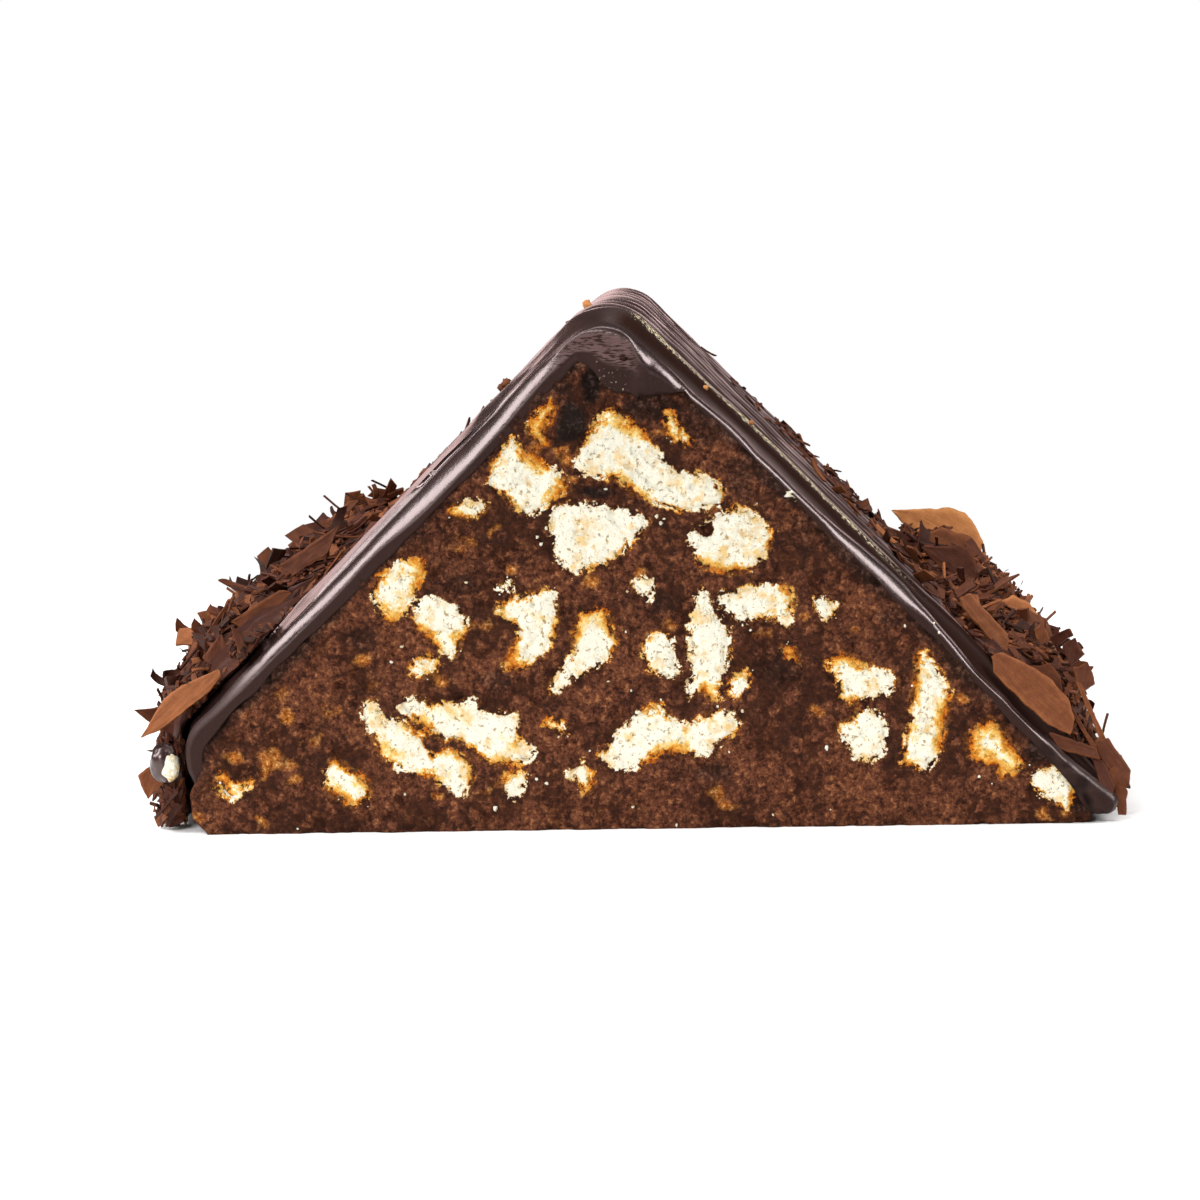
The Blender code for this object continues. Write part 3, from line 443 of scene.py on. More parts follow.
def lumps(places, sizes, dice, sides=6, belts=4):
    """Small uneven lumps as one mesh: each a sphere's points, at radius 1 with a random share of 30%, times
    its size, plus its place. Returns points, faces and the lump that each point is on."""
    lift = np.linspace(-math.pi / 2, math.pi / 2, belts + 1)
    turn = np.arange(sides) * 2 * math.pi / sides
    ball = np.stack([np.outer(np.cos(lift), np.cos(turn)), np.outer(np.cos(lift), np.sin(turn)),
                     np.outer(np.sin(lift), np.ones(sides))], 2).reshape(-1, 3)
    count, each = len(places), len(ball)
    rough = 1 + 0.3 * dice.uniform(-1, 1, (count, each, 1))
    rough[:, :sides] = rough[:, :1]
    rough[:, -sides:] = rough[:, -1:]
    points = places[:, None, :] + ball * rough * sizes[:, None, :]
    faces = grid_faces(belts + 1, sides, around=True)
    faces = (faces[None] + each * np.arange(count)[:, None, None]).reshape(-1, 4)
    return points.reshape(-1, 3), faces, np.repeat(np.arange(count), each)


# Finishes -----------------------------------------------------------------------------------------


def linear(hex_colour):
    """An sRGB hex colour as linear red, green, blue and alpha."""
    srgb = np.array([int(hex_colour[k:k + 2], 16) for k in (1, 3, 5)]) / 255
    rgb = np.where(srgb <= 0.04045, srgb / 12.92, ((srgb + 0.055) / 1.055) ** 2.4)
    return (*rgb.tolist(), 1.0)


def add(tree, kind, inputs=None, out=None, stops=None, **settings):
    """Adds a node with its settings. Each input takes a value or, from a socket, a link; stops fills a
    ramp. Returns the output named, or else the first that is in use."""
    node = tree.nodes.new(kind)
    for key, value in settings.items():
        setattr(node, key, value)
    for key, value in (inputs or {}).items():
        if isinstance(value, bpy.types.NodeSocket):
            tree.links.new(value, node.inputs[key])
        else:
            node.inputs[key].default_value = value
    if stops:
        ramp = node.color_ramp
        while len(ramp.elements) < len(stops):
            ramp.elements.new(0.5)
        for element, (position, colour) in zip(ramp.elements, stops):
            element.position, element.color = position, linear(colour)
    return node.outputs[out] if out else next((o for o in node.outputs if o.enabled), None)


def new_finish(name):
    """An empty material, its node tree and its Principled shader, which is joined to the output."""
    material = bpy.data.materials.new(name)
    material.use_nodes = True
    tree = material.node_tree
    tree.nodes.clear()
    shader = tree.nodes.new("ShaderNodeBsdfPrincipled")
    output = tree.nodes.new("ShaderNodeOutputMaterial")
    tree.links.new(shader.outputs[0], output.inputs["Surface"])
    return material, tree, shader


def per_mm(size):
    """The scale that gives a texture's pattern that size, in mm, on Object coordinates in metres."""
    return 1 / (size * MM)


def ragged_vector(tree, place):
    """A shift of up to 0.4 mm that makes a pattern's cells ragged: a 0.8 mm colour noise, centred on 0."""
    spread = add(tree, "ShaderNodeTexNoise", {"Vector": place, "Scale": per_mm(0.8), "Detail": 3.0},
                 out="Color")
    shift = add(tree, "ShaderNodeVectorMath", {0: spread, 1: (0.5, 0.5, 0.5)}, operation="SUBTRACT")
    scaled = add(tree, "ShaderNodeVectorMath", {0: shift}, operation="SCALE", out="Vector")
    scaled.node.inputs["Scale"].default_value = 1.6 * MM
    return scaled


def cut_face(name):
    """Cocoa dough and broken biscuit, as a knife left them. Where the mark edge (mm inside the nearest
    biscuit), roughened by noise, is over 0 it is biscuit: a burnt rim as wide as the mark toast says,
    then cream crumb with amber patches and small olive pits. The rest is dough: matte brown crumbs,
    grains lighter in the middle and darker at their edges and dark cracks, both painted shade, caramel
    where the soak mark is over 0, and where it is under 0 dark smears and painted shade in the hollow
    by the peak."""
    material, tree, shader = new_finish(name)
    place = add(tree, "ShaderNodeTexCoord", out="Object")
    edge, toast, stain_and_shade = (add(tree, "ShaderNodeAttribute", attribute_name=mark, out="Fac")
                          for mark in ("edge", "toast", "stain_and_shade"))
    ragged = add(tree, "ShaderNodeTexNoise", {"Vector": place, "Scale": per_mm(1.6), "Detail": 8.0,
                                              "Roughness": 0.78})
    crumbs = add(tree, "ShaderNodeTexNoise", {"Vector": place, "Scale": per_mm(0.6), "Detail": 5.0,
                                              "Roughness": 0.75})
    clouds = add(tree, "ShaderNodeTexNoise", {"Vector": place, "Scale": per_mm(9.0), "Detail": 3.0})
    twisted = add(tree, "ShaderNodeVectorMath", {0: ragged_vector(tree, place), 1: place}, operation="ADD")
    grain_cells = {"Vector": twisted, "Scale": per_mm(0.95)}
    grains = add(tree, "ShaderNodeTexVoronoi", grain_cells, out="Distance")
    kinds = add(tree, "ShaderNodeTexVoronoi", grain_cells, out="Color")
    kind = add(tree, "ShaderNodeSeparateColor", {0: kinds}, out="Red")
    # Dough: dark smear to light grain, by crumbs of 0.6 and 1.6 mm, clouds of 9 mm and grains of 0.95 mm;
    # each grain is darker towards its edge, painted shade between the grains
    level = add(tree, "ShaderNodeMath", {0: crumbs, 1: 1.36, 2: -0.705}, operation="MULTIPLY_ADD")
    for part, gain in ((ragged, 0.80), (clouds, 0.26), (kind, 0.22), (grains, -0.22)):
        level = add(tree, "ShaderNodeMath", {0: part, 1: gain, 2: level}, operation="MULTIPLY_ADD")
    dough = add(tree, "ShaderNodeValToRGB", {0: level}, stops=(
        (0.30, "#27120c"), (0.40, "#472518"), (0.52, "#623927"), (0.66, "#77462f"), (0.82, "#a76d45")))
    # Painted shade in the cracks: the dough darkens along the edges of 2.9 mm cells
    cracks = add(tree, "ShaderNodeTexVoronoi", {"Vector": twisted, "Scale": per_mm(2.9)}, out="Distance",
                 feature="DISTANCE_TO_EDGE")
    crack = add(tree, "ShaderNodeMath", {0: clouds, 1: -1.1, 2: 0.66}, operation="MULTIPLY_ADD")
    crack = add(tree, "ShaderNodeMath", {0: crumbs, 1: 0.35, 2: crack}, operation="MULTIPLY_ADD")
    crack = add(tree, "ShaderNodeMath", {0: crack, 1: cracks}, operation="SUBTRACT")
    crack = add(tree, "ShaderNodeMapRange", {"Value": crack, "From Min": 0.16, "From Max": 0.24,
                                             "To Min": 0.0, "To Max": 0.65})
    dough = add(tree, "ShaderNodeMix", {0: crack, 6: dough, 7: linear("#2a130b")}, data_type="RGBA")
    # Dark spots where the soak mark is under 0: smears of soaked glaze, the bit of dark chocolate, and
    # painted shade in the hollow by the peak
    dark = add(tree, "ShaderNodeMath", {0: stain_and_shade, 1: -1.0}, operation="MULTIPLY", use_clamp=True)
    dark_and_hollow_shade = add(tree, "ShaderNodeValToRGB", {0: level}, stops=(
        (0.34, "#0d0706"), (0.54, "#1f1513"), (0.76, "#4c3c37")))
    dough = add(tree, "ShaderNodeMix", {0: dark, 6: dough, 7: dark_and_hollow_shade}, data_type="RGBA")
    # Caramel stains: orange-brown crumb soaked with fat
    soaked = add(tree, "ShaderNodeMath", {0: ragged, 1: 1.5, 2: -1.05}, operation="MULTIPLY_ADD")
    soaked = add(tree, "ShaderNodeMath", {0: stain_and_shade, 1: 1.25, 2: soaked}, operation="MULTIPLY_ADD",
                 use_clamp=True)
    caramel = add(tree, "ShaderNodeValToRGB", {0: crumbs}, stops=(
        (0.34, "#5c2810"), (0.46, "#a3561f"), (0.56, "#d38b3a"), (0.68, "#f6d89c")))
    dough = add(tree, "ShaderNodeMix", {0: soaked, 6: dough, 7: caramel}, data_type="RGBA")
    # Biscuit: distance inside the ragged edge over the width of the toasted rim
    inner = edge
    for part, reach in ((ragged, 3.5), (crumbs, 2.2), (kind, 1.1)):
        shift = add(tree, "ShaderNodeMath", {0: part, 1: reach, 2: -reach / 2}, operation="MULTIPLY_ADD")
        inner = add(tree, "ShaderNodeMath", {0: inner, 1: shift}, operation="ADD")
    rim = add(tree, "ShaderNodeMath", {0: toast, 1: 1.3, 2: 1.05}, operation="MULTIPLY_ADD")
    rim = add(tree, "ShaderNodeMath", {0: toast, 1: rim, 2: 0.22}, operation="MULTIPLY_ADD")
    depth = add(tree, "ShaderNodeMath", {0: inner, 1: rim}, operation="DIVIDE")
    crust = add(tree, "ShaderNodeValToRGB", {0: depth}, stops=(
        (0.0, "#6a2e10"), (0.12, "#c0621a"), (0.34, "#e3902a"), (0.60, "#f6c662"), (0.84, "#fde9b2"),
        (1.0, "#fffae6")))
    patches = add(tree, "ShaderNodeTexNoise", {"Vector": place, "Scale": per_mm(2.2), "Detail": 4.0,
                                               "Roughness": 0.6})
    mottle = add(tree, "ShaderNodeMapRange", {"Value": patches, "From Min": 0.51, "From Max": 0.68,
                                              "To Min": 0.0, "To Max": 0.8})
    crust = add(tree, "ShaderNodeMix", {0: mottle, 6: crust, 7: linear("#f3c668")}, data_type="RGBA")
    pit = add(tree, "ShaderNodeTexNoise", {"Vector": place, "Scale": per_mm(0.7), "Detail": 3.0,
                                           "Roughness": 0.65, "Distortion": 0.4})
    pitted = add(tree, "ShaderNodeMapRange", {"Value": pit, "From Min": 0.42, "From Max": 0.34,
                                              "To Min": 0.0, "To Max": 0.8})
    crumb = add(tree, "ShaderNodeMix", {0: pitted, 6: crust, 7: linear("#a3813a")}, data_type="RGBA")
    is_biscuit = add(tree, "ShaderNodeMapRange", {"Value": inner, "From Min": -0.08, "From Max": 0.10})
    colour = add(tree, "ShaderNodeMix", {0: is_biscuit, 6: dough, 7: crumb}, data_type="RGBA")
    tree.links.new(colour, shader.inputs["Base Color"])
    # Relief: grains 0.95 mm and crumbs 0.6 and 1.6 mm across; pits and cracks lie lower
    height = add(tree, "ShaderNodeMath", {0: grains, 1: -0.35, 2: crumbs}, operation="MULTIPLY_ADD")
    for part, gain in ((ragged, 1.3), (is_biscuit, 0.10), (pitted, -0.06), (crack, -0.5)):
        height = add(tree, "ShaderNodeMath", {0: part, 1: gain, 2: height}, operation="MULTIPLY_ADD")
    bump = add(tree, "ShaderNodeBump", {"Height": height, "Strength": 0.9, "Distance": 0.9 * MM})
    tree.links.new(bump, shader.inputs["Normal"])
    shine = add(tree, "ShaderNodeMapRange", {"Value": level, "From Min": 0.3, "From Max": 0.55,
                                             "To Min": 0.55, "To Max": 0.85})
    tree.links.new(shine, shader.inputs["Roughness"])
    shader.inputs["Specular IOR Level"].default_value = 0.18
    shader.inputs["Specular Tint"].default_value = linear("#f0cdb8")
    return material


def chocolate_glaze():
    """Dark chocolate glaze, poured and set: nearly black brown with a satin gloss, so it shows pale lilac
    streaks of the lights. Where the mark matte says, it is dull, and where wrinkle says, folded, with the
    raised folds painted paler as a painted highlight. Where the specks mark is over 0, beige specks 0.5 mm
    across show, partly sugar grains and partly painted glints; where it is under 0 the colour is painted
    nearly black, as painted shade between the lumps of the pool at the right foot."""
    material, tree, shader = new_finish("chocolate_glaze")
    place = add(tree, "ShaderNodeTexCoord", out="Object")
    matte, specks_and_painted_shade, wrinkle = (add(tree, "ShaderNodeAttribute", attribute_name=mark, out="Fac")
                               for mark in ("matte", "specks_and_painted_shade", "wrinkle"))
    clouds = add(tree, "ShaderNodeTexNoise", {"Vector": place, "Scale": per_mm(9.0), "Detail": 4.0})
    satin = add(tree, "ShaderNodeTexNoise", {"Vector": place, "Scale": per_mm(0.7), "Detail": 3.0})
    base = add(tree, "ShaderNodeValToRGB", {0: clouds}, stops=(
        (0.3, "#1a0d0b"), (0.55, "#241411"), (0.75, "#2e1b17")))
    dull = add(tree, "ShaderNodeMix", {0: matte, 6: base, 7: linear("#271814")}, data_type="RGBA")
    # Painted shade: nearly black where the specks mark is under 0, between the lumps of the pool at the
    # right foot
    painted_pool_shade = add(tree, "ShaderNodeMath", {0: specks_and_painted_shade, 1: -1.0}, operation="MULTIPLY", use_clamp=True)
    dull = add(tree, "ShaderNodeMix", {0: painted_pool_shade, 6: dull, 7: linear("#0b0605")}, data_type="RGBA")
    # Pale beige specks where the specks mark is over 0: partly sugar grains, partly painted glints
    grains = add(tree, "ShaderNodeTexNoise", {"Vector": place, "Scale": per_mm(0.5), "Detail": 2.0})
    sugar_and_glint_specks = add(tree, "ShaderNodeMath", {0: grains, 1: 4.0, 2: -3.4}, operation="MULTIPLY_ADD")
    sugar_and_glint_specks = add(tree, "ShaderNodeMath", {0: specks_and_painted_shade, 1: 1.8, 2: sugar_and_glint_specks}, operation="MULTIPLY_ADD",
                use_clamp=True)
    colour = add(tree, "ShaderNodeMix", {0: sugar_and_glint_specks, 6: dull, 7: linear("#d9caa8")}, data_type="RGBA")
    gloss = add(tree, "ShaderNodeMath", {0: matte, 1: 0.50, 2: 0.17}, operation="MULTIPLY_ADD")
    gloss = add(tree, "ShaderNodeMath", {0: clouds, 1: 0.12, 2: gloss}, operation="MULTIPLY_ADD")
    tree.links.new(gloss, shader.inputs["Roughness"])
    # Wrinkles 0.26 mm across that run down to the right, where the glaze dried in the smear at the peak; the
    # raised folds are painted paler, a painted highlight on their crests
    leaning = add(tree, "ShaderNodeMapping", {"Vector": place, "Rotation": (0, math.radians(24), 0),
                                              "Scale": (0.22, 0.3, 1.0)})
    folds = add(tree, "ShaderNodeTexNoise", {"Vector": leaning, "Scale": per_mm(0.26), "Detail": 1.0})
    painted_fold_highlight = add(tree, "ShaderNodeMapRange", {"Value": folds, "From Min": 0.36, "From Max": 0.56})
    painted_fold_highlight = add(tree, "ShaderNodeMath", {0: painted_fold_highlight, 1: wrinkle}, operation="MULTIPLY")
    colour = add(tree, "ShaderNodeMix", {0: painted_fold_highlight, 6: colour, 7: linear("#5c4745")}, data_type="RGBA")
    tree.links.new(colour, shader.inputs["Base Color"])
    folds = add(tree, "ShaderNodeMath", {0: folds, 1: wrinkle}, operation="MULTIPLY")
    grit = add(tree, "ShaderNodeMath", {0: matte, 1: 3.0, 2: 0.6}, operation="MULTIPLY_ADD")
    satin = add(tree, "ShaderNodeMath", {0: satin, 1: grit}, operation="MULTIPLY")
    height = add(tree, "ShaderNodeMath", {0: folds, 1: 12.0, 2: satin}, operation="MULTIPLY_ADD")
    bump = add(tree, "ShaderNodeBump", {"Height": height, "Strength": 0.3, "Distance": 0.16 * MM})
    tree.links.new(bump, shader.inputs["Normal"])
    shader.inputs["IOR"].default_value = 1.5
    sheen = add(tree, "ShaderNodeMapRange", {"Value": matte, "To Min": 1.0, "To Max": 0.0})
    tree.links.new(sheen, shader.inputs["Specular IOR Level"])
    shader.inputs["Specular Tint"].default_value = linear("#f3dcda")
    return material


def shaved_chocolate():
    """Shaved and broken chocolate: dull, with fine streaks that the blade drew along each flake, from dark
    reddish brown to milk brown by the mark tone."""
    material, tree, shader = new_finish("shaved_chocolate")
    along = add(tree, "ShaderNodeAttribute", attribute_name="blade", out="Vector")
    place = add(tree, "ShaderNodeTexCoord", out="Object")
    tone = add(tree, "ShaderNodeAttribute", attribute_name="tone", out="Fac")
    streak = add(tree, "ShaderNodeTexNoise", {"Vector": along, "Scale": 1.0, "Detail": 4.0,
                                              "Roughness": 0.65})
    dust = add(tree, "ShaderNodeTexNoise", {"Vector": place, "Scale": per_mm(1.4), "Detail": 5.0,
                                            "Roughness": 0.7})
    level = add(tree, "ShaderNodeMath", {0: streak, 1: 0.30, 2: tone}, operation="MULTIPLY_ADD")
    level = add(tree, "ShaderNodeMath", {0: dust, 1: 0.34, 2: level}, operation="MULTIPLY_ADD")
    level = add(tree, "ShaderNodeMath", {0: level, 1: 0.32}, operation="SUBTRACT", use_clamp=True)
    colour = add(tree, "ShaderNodeValToRGB", {0: level}, stops=(
        (0.0, "#26120d"), (0.25, "#412015"), (0.5, "#623720"), (0.75, "#8a5432"), (1.0, "#ad7444")))
    tree.links.new(colour, shader.inputs["Base Color"])
    height = add(tree, "ShaderNodeMath", {0: dust, 1: 0.6, 2: streak}, operation="MULTIPLY_ADD")
    bump = add(tree, "ShaderNodeBump", {"Height": height, "Strength": 0.5, "Distance": 0.25 * MM})
    tree.links.new(bump, shader.inputs["Normal"])
    rough = add(tree, "ShaderNodeMapRange", {"Value": tone, "From Min": 0.1, "From Max": 0.6,
                                             "To Min": 0.52, "To Max": 0.68})
    tree.links.new(rough, shader.inputs["Roughness"])
    shader.inputs["Specular IOR Level"].default_value = 0.16
    shader.inputs["Specular Tint"].default_value = linear("#f2d2c2")
    return material


# The cut face -------------------------------------------------------------------------------------


def face_marks(x, z):
    """For points of the cut: mm inside the nearest biscuit (at least -3), how toasted that biscuit is
    there, and how much the dough is stained (over 0) or dark (under 0)."""
    flat = np.stack((x, z), 1)
    edge, toast, stain_and_shade = np.full(len(x), -3.0), np.full(len(x), 0.3), np.zeros(len(x))
    for level, corners in BISCUITS.values():
        outline = curved_outline(corners, 64)
        low, high = outline.min(0) - 3, outline.max(0) + 3
        near = np.flatnonzero(((flat > low) & (flat < high)).all(1))
        inside = inside_distance(flat[near], outline)
        closer = inside > edge[near]
        edge[near[closer]] = inside[closer]
        toast[near[closer]] = level
    where = np.stack((x, np.zeros_like(x), z), 1)
    toast = np.clip(1.15 * toast - 0.06 + 0.85 * noise(where, 4.5, 5), 0, 1)
    blur = 0.5 * crumple(where, 1.8, 2, 6)
    for cx, cz, size in STAINS:
        stain_and_shade = np.maximum(stain_and_shade, 0.98 - 0.80 * np.hypot(x - cx, (z - cz) * 1.3) / size + blur)
    halo = 0.42 * smooth_step(-1.3, -0.2, edge) * smooth_step(-0.3, 0.7, noise(where, 3.2, 8) + toast)
    stain_and_shade = np.clip(np.maximum(stain_and_shade, halo), 0, 1)
    dark = np.zeros(len(x))
    for cx, cz, wide, high, strength in DARK_SPOTS:
        near = 1 - np.hypot((x - cx) / wide, (z - cz) / high) + 0.3 * crumple(where, 2.4, 2, 9)
        dark = np.maximum(dark, strength * smooth_step(-0.1, 0.35, near))
    strip = inside_distance(flat, rounded_outline(DOUGH_CORNERS)) + 0.9 * noise(where, 5.0, 7)
    dark = np.maximum(dark, 0.75 * smooth_step(2.6, 0.6, strip) * smooth_step(6, 12, z))
    return edge, toast, stain_and_shade * (1 - dark) - dark


def dough_relief(x, z):
    """How far the dough stands out of the plane of the cut: crumbs of 5, 2 and 0.8 mm, torn pits, long
    low scores left by the knife, and by the peak a deep hollow and the bit of dark chocolate."""
    where = np.stack((x, np.zeros_like(x), z), 1)
    scored = np.stack((x * 0.22, np.zeros_like(x), z), 1)
    hollow = 1.3 * np.exp(-((x + 8.6) / 1.3) ** 2 - ((z - 71.2) / 2.6) ** 2)
    lump = 0.7 * smooth_step(0.0, 0.35, 1 - np.hypot((x + 12.3) / 2.7, (z - 64.6) / 4.8))
    relief = 0.28 * crumple(where, 5.0, 2, 11) + 0.20 * noise(where, 1.9, 14) + 0.13 * noise(where, 0.8, 15)
    pits = smooth_step(0.35, 0.75, noise(where, 2.6, 16)) * 0.55
    return relief - pits + 0.10 * noise(scored, 1.3, 17) - hollow + lump


def bare_foot(x, z):
    """How far the dough bulges past the glaze, uncoated, at the left foot of the cut, up to 9 mm high."""
    return np.where(x < 0, 2.3 * smooth_step(11, 6, z) * smooth_step(-0.5, 3, z), 0)


def make_dough(finish):
    """The dough: its cut face is a grid, height by height from left to right outline, pushed in behind
    the biscuits; its sides run straight back from the grid's rim, and a fan closes the back."""
    rows, columns = 215, 320
    outline = rounded_outline(DOUGH_CORNERS)
    low, high = outline[:, 1].min(), outline[:, 1].max()
    top = int(outline[:, 1].argmax())
    bottom_right = int(np.flatnonzero(np.abs(outline[:, 1] - low) < 1e-6).max())
    right = outline[bottom_right:top + 1]
    left = np.r_[outline[top:], outline[:1]][::-1]
    height = low + (high - low) * (1 - (1 - np.linspace(0, 1, rows)) ** 1.25)
    height[-1] = high - 0.02
    right_x = np.interp(height, right[:, 1], right[:, 0])
    left_x = np.interp(height, left[:, 1], left[:, 0])
    steps = np.linspace(0, 1, columns)
    x = left_x[:, None] + (right_x - left_x)[:, None] * steps
    z = np.repeat(height[:, None], columns, 1)
    flat_x, flat_z = x.ravel(), z.ravel()
    edge, toast, stain_and_shade = face_marks(flat_x, flat_z)
    relief = dough_relief(flat_x, flat_z)
    y = FRONT_Y - relief + 1.7 * smooth_step(0.25, 1.1, edge)
    front = np.stack((flat_x, y, flat_z), 1)
    front[:, 1] = np.maximum(front[:, 1], FRONT_Y - 0.9)
    index = np.arange(rows * columns).reshape(rows, columns)
    rim = np.r_[index[0], index[1:, -1], index[-1, -2::-1], index[-2:0:-1, 0]]
    count = len(rim)
    rounded = front[rim].copy()
    rounded[:, 1] = FRONT_Y + 1.3
    back = rounded.copy()
    back[:, 1] = BACK_Y - GAP
    flared = bare_foot(flat_x, flat_z) * smooth_step(0.2, 0.0, np.tile(steps, rows))
    front[:, 0] -= flared
    rounded[:, 0] -= 0.6 * flared[rim]
    pole = np.array([[-2.0, BACK_Y - GAP, 28.0]])
    points = tapered(np.r_[front, rounded, back, pole])
    start = rows * columns
    ring = np.arange(count)
    following = (ring + 1) % count
    sides = [np.stack((rim, rim[following], start + following, start + ring), 1),
             np.stack((start + ring, start + following, start + count + following, start + count + ring), 1)]
    fan = np.stack((start + count + ring, start + count + following, np.full(count, len(points) - 1)), 1)
    spare = len(points) - len(front)
    marks = {"edge": np.r_[edge, np.full(spare, -3.0)], "toast": np.r_[toast, np.full(spare, 0.3)],
             "stain_and_shade": np.r_[stain_and_shade, np.zeros(spare)]}
    put_mesh("cocoa_dough", points, [grid_faces(rows, columns), *sides, fan], finish, marks,
             ("dough",))


def split_halves(outline, columns):
    """The two halves of a closed outline between its two farthest points, each at even steps."""
    gaps = np.linalg.norm(outline[:, None] - outline[None], axis=2)
    first, last = sorted(np.unravel_index(gaps.argmax(), gaps.shape))
    one = outline[first:last + 1]
    other = np.r_[outline[last:], outline[:first + 1]][::-1]
    steps = np.linspace(0, 1, columns)
    return resampled(one, steps), resampled(other, steps)


def make_biscuit(name, level, corners, finish):
    """A broken biscuit: its front is a grid between the two halves of its outline, u along and v across,
    domed and crumbled; it narrows to a coarse buried end as deep as the solid it stands for."""
    outline = curved_outline(corners, 96)
    middle = outline.mean(0)
    away = outline - middle
    bulged = outline + away / np.linalg.norm(away, axis=1, keepdims=True) * 0.38
    one, other = split_halves(bulged, max(8, round(arc_lengths(bulged)[-1] / 2 / 0.30)))
    width = np.linalg.norm(one - other, axis=1).max()
    steps = max(6, round(width / 0.28))
    v = np.linspace(0, 1, steps + 1)
    front = one[:, None] * (1 - v[:, None]) + other[:, None] * v[:, None]
    x, z = front[..., 0].ravel(), front[..., 1].ravel()
    where = np.stack((x, np.zeros_like(x), z), 1)
    edge, toast, stain_and_shade = face_marks(x, z)
    edge = np.maximum(edge, inside_distance(np.stack((x, z), 1), outline))
    proud = 0.42 * smooth_step(-0.1, 1.5, edge) - 0.30
    crumble = 0.16 * crumple(where, 2.2, 2, 31) + 0.10 * noise(where, 0.75, 33)
    pits = 0.34 * smooth_step(0.42, 0.8, noise(where, 1.15, 34)) * smooth_step(0.1, 0.8, edge)
    y = FRONT_Y - proud - crumble * smooth_step(-0.2, 0.6, edge) + pits
    if name == HOLED:
        off = (x - HOLE_X) ** 2 + (z - HOLE_Z) ** 2
        y = y + 1.6 * np.exp(-off / 0.9)
        edge = edge - 6 * np.exp(-off / 1.1)
    front = np.stack((x, y, z), 1).reshape(len(one), steps + 1, 3)
    _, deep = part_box("biscuit_" + name)
    ends = np.stack((other, (one + other) / 2, one), 1)
    ends = middle + (ends - middle) * BISCUIT_TAPER
    buried = np.stack((ends[..., 0], np.full(ends.shape[:2], deep.y / MM), ends[..., 1]), 2)
    loops = np.concatenate((front, buried), 1)
    spare = buried.shape[1]
    marks = {}
    for key, values, rest in (("edge", edge, 3.0), ("toast", toast, 0.3), ("stain_and_shade", stain_and_shade, 0.0)):
        marks[key] = np.c_[values.reshape(len(one), -1), np.full((len(one), spare), rest)].ravel()
    faces = grid_faces(len(one), loops.shape[1], around=True)
    put_mesh("broken_" + name, loops.reshape(-1, 3), [faces], finish, marks, ("biscuit_" + name,),
             merge=True)


def make_white_crumbs(finish):
    """Loose crumbs of biscuit on the cut: the larger ones listed, and dust of 0.2 to 0.4 mm thrown
    round the edges of the biscuits."""
    dice = np.random.default_rng(61)
    places = [(x, FRONT_Y - 0.25, z) for x, z, _ in WHITE_CRUMBS]
    sizes = [size * 0.45 for _, _, size in WHITE_CRUMBS]
    for level, corners in BISCUITS.values():
        outline = curved_outline(corners, 40)
        away = outline - outline.mean(0)
        away /= np.linalg.norm(away, axis=1, keepdims=True)
        for k in dice.choice(40, 2, replace=False):
            spot = outline[k] + away[k] * abs(dice.normal(0.1, 0.45))
            places.append((spot[0], FRONT_Y - 0.1, spot[1]))
            sizes.append(dice.uniform(0.08, 0.20))
    places, sizes = np.array(places), np.array(sizes)
    keep = places[:, 2] > sizes
    places, sizes = places[keep], sizes[keep]
    scale = sizes[:, None] * dice.uniform(0.65, 1.25, (len(sizes), 3))
    points, faces, _ = lumps(places, scale, dice)
    marks = {"edge": np.full(len(points), 4.0), "toast": np.full(len(points), 0.05),
             "stain_and_shade": np.zeros(len(points))}
    put_mesh("biscuit_dust", points, [faces], finish, marks, merge=True)


# The glaze ----------------------------------------------------------------------------------------


def rib_reach(share, y):
    """How far along the run of ribs a point is, at a share of the way across from the right foot: its
    distance from the cut plus two sine waves. Valleys lie at whole multiples of RIB_PITCH."""
    sway = np.sin(9.0 * share + 0.045 * y) + 0.5 * np.sin(23.0 * share - 0.02 * y)
    return y - FRONT_Y + RIB_MEANDER * sway


def rib_height(share, height, y):
    """Relief of the ribs at a share of the way across, at a height and a place along the loaf: a broad
    cosine crest every RIB_PITCH, which dies out at the foot and the cut."""
    wave = 0.5 - 0.5 * np.cos(2 * math.pi * rib_reach(share, y) / RIB_PITCH)
    fade = np.minimum(1, height / RIB_FOOT_FADE) * np.clip((y - FRONT_Y) / RIB_START, 0, 1)
    return RIB_HEIGHT * fade * (1 - (1 - wave) ** 2.2)


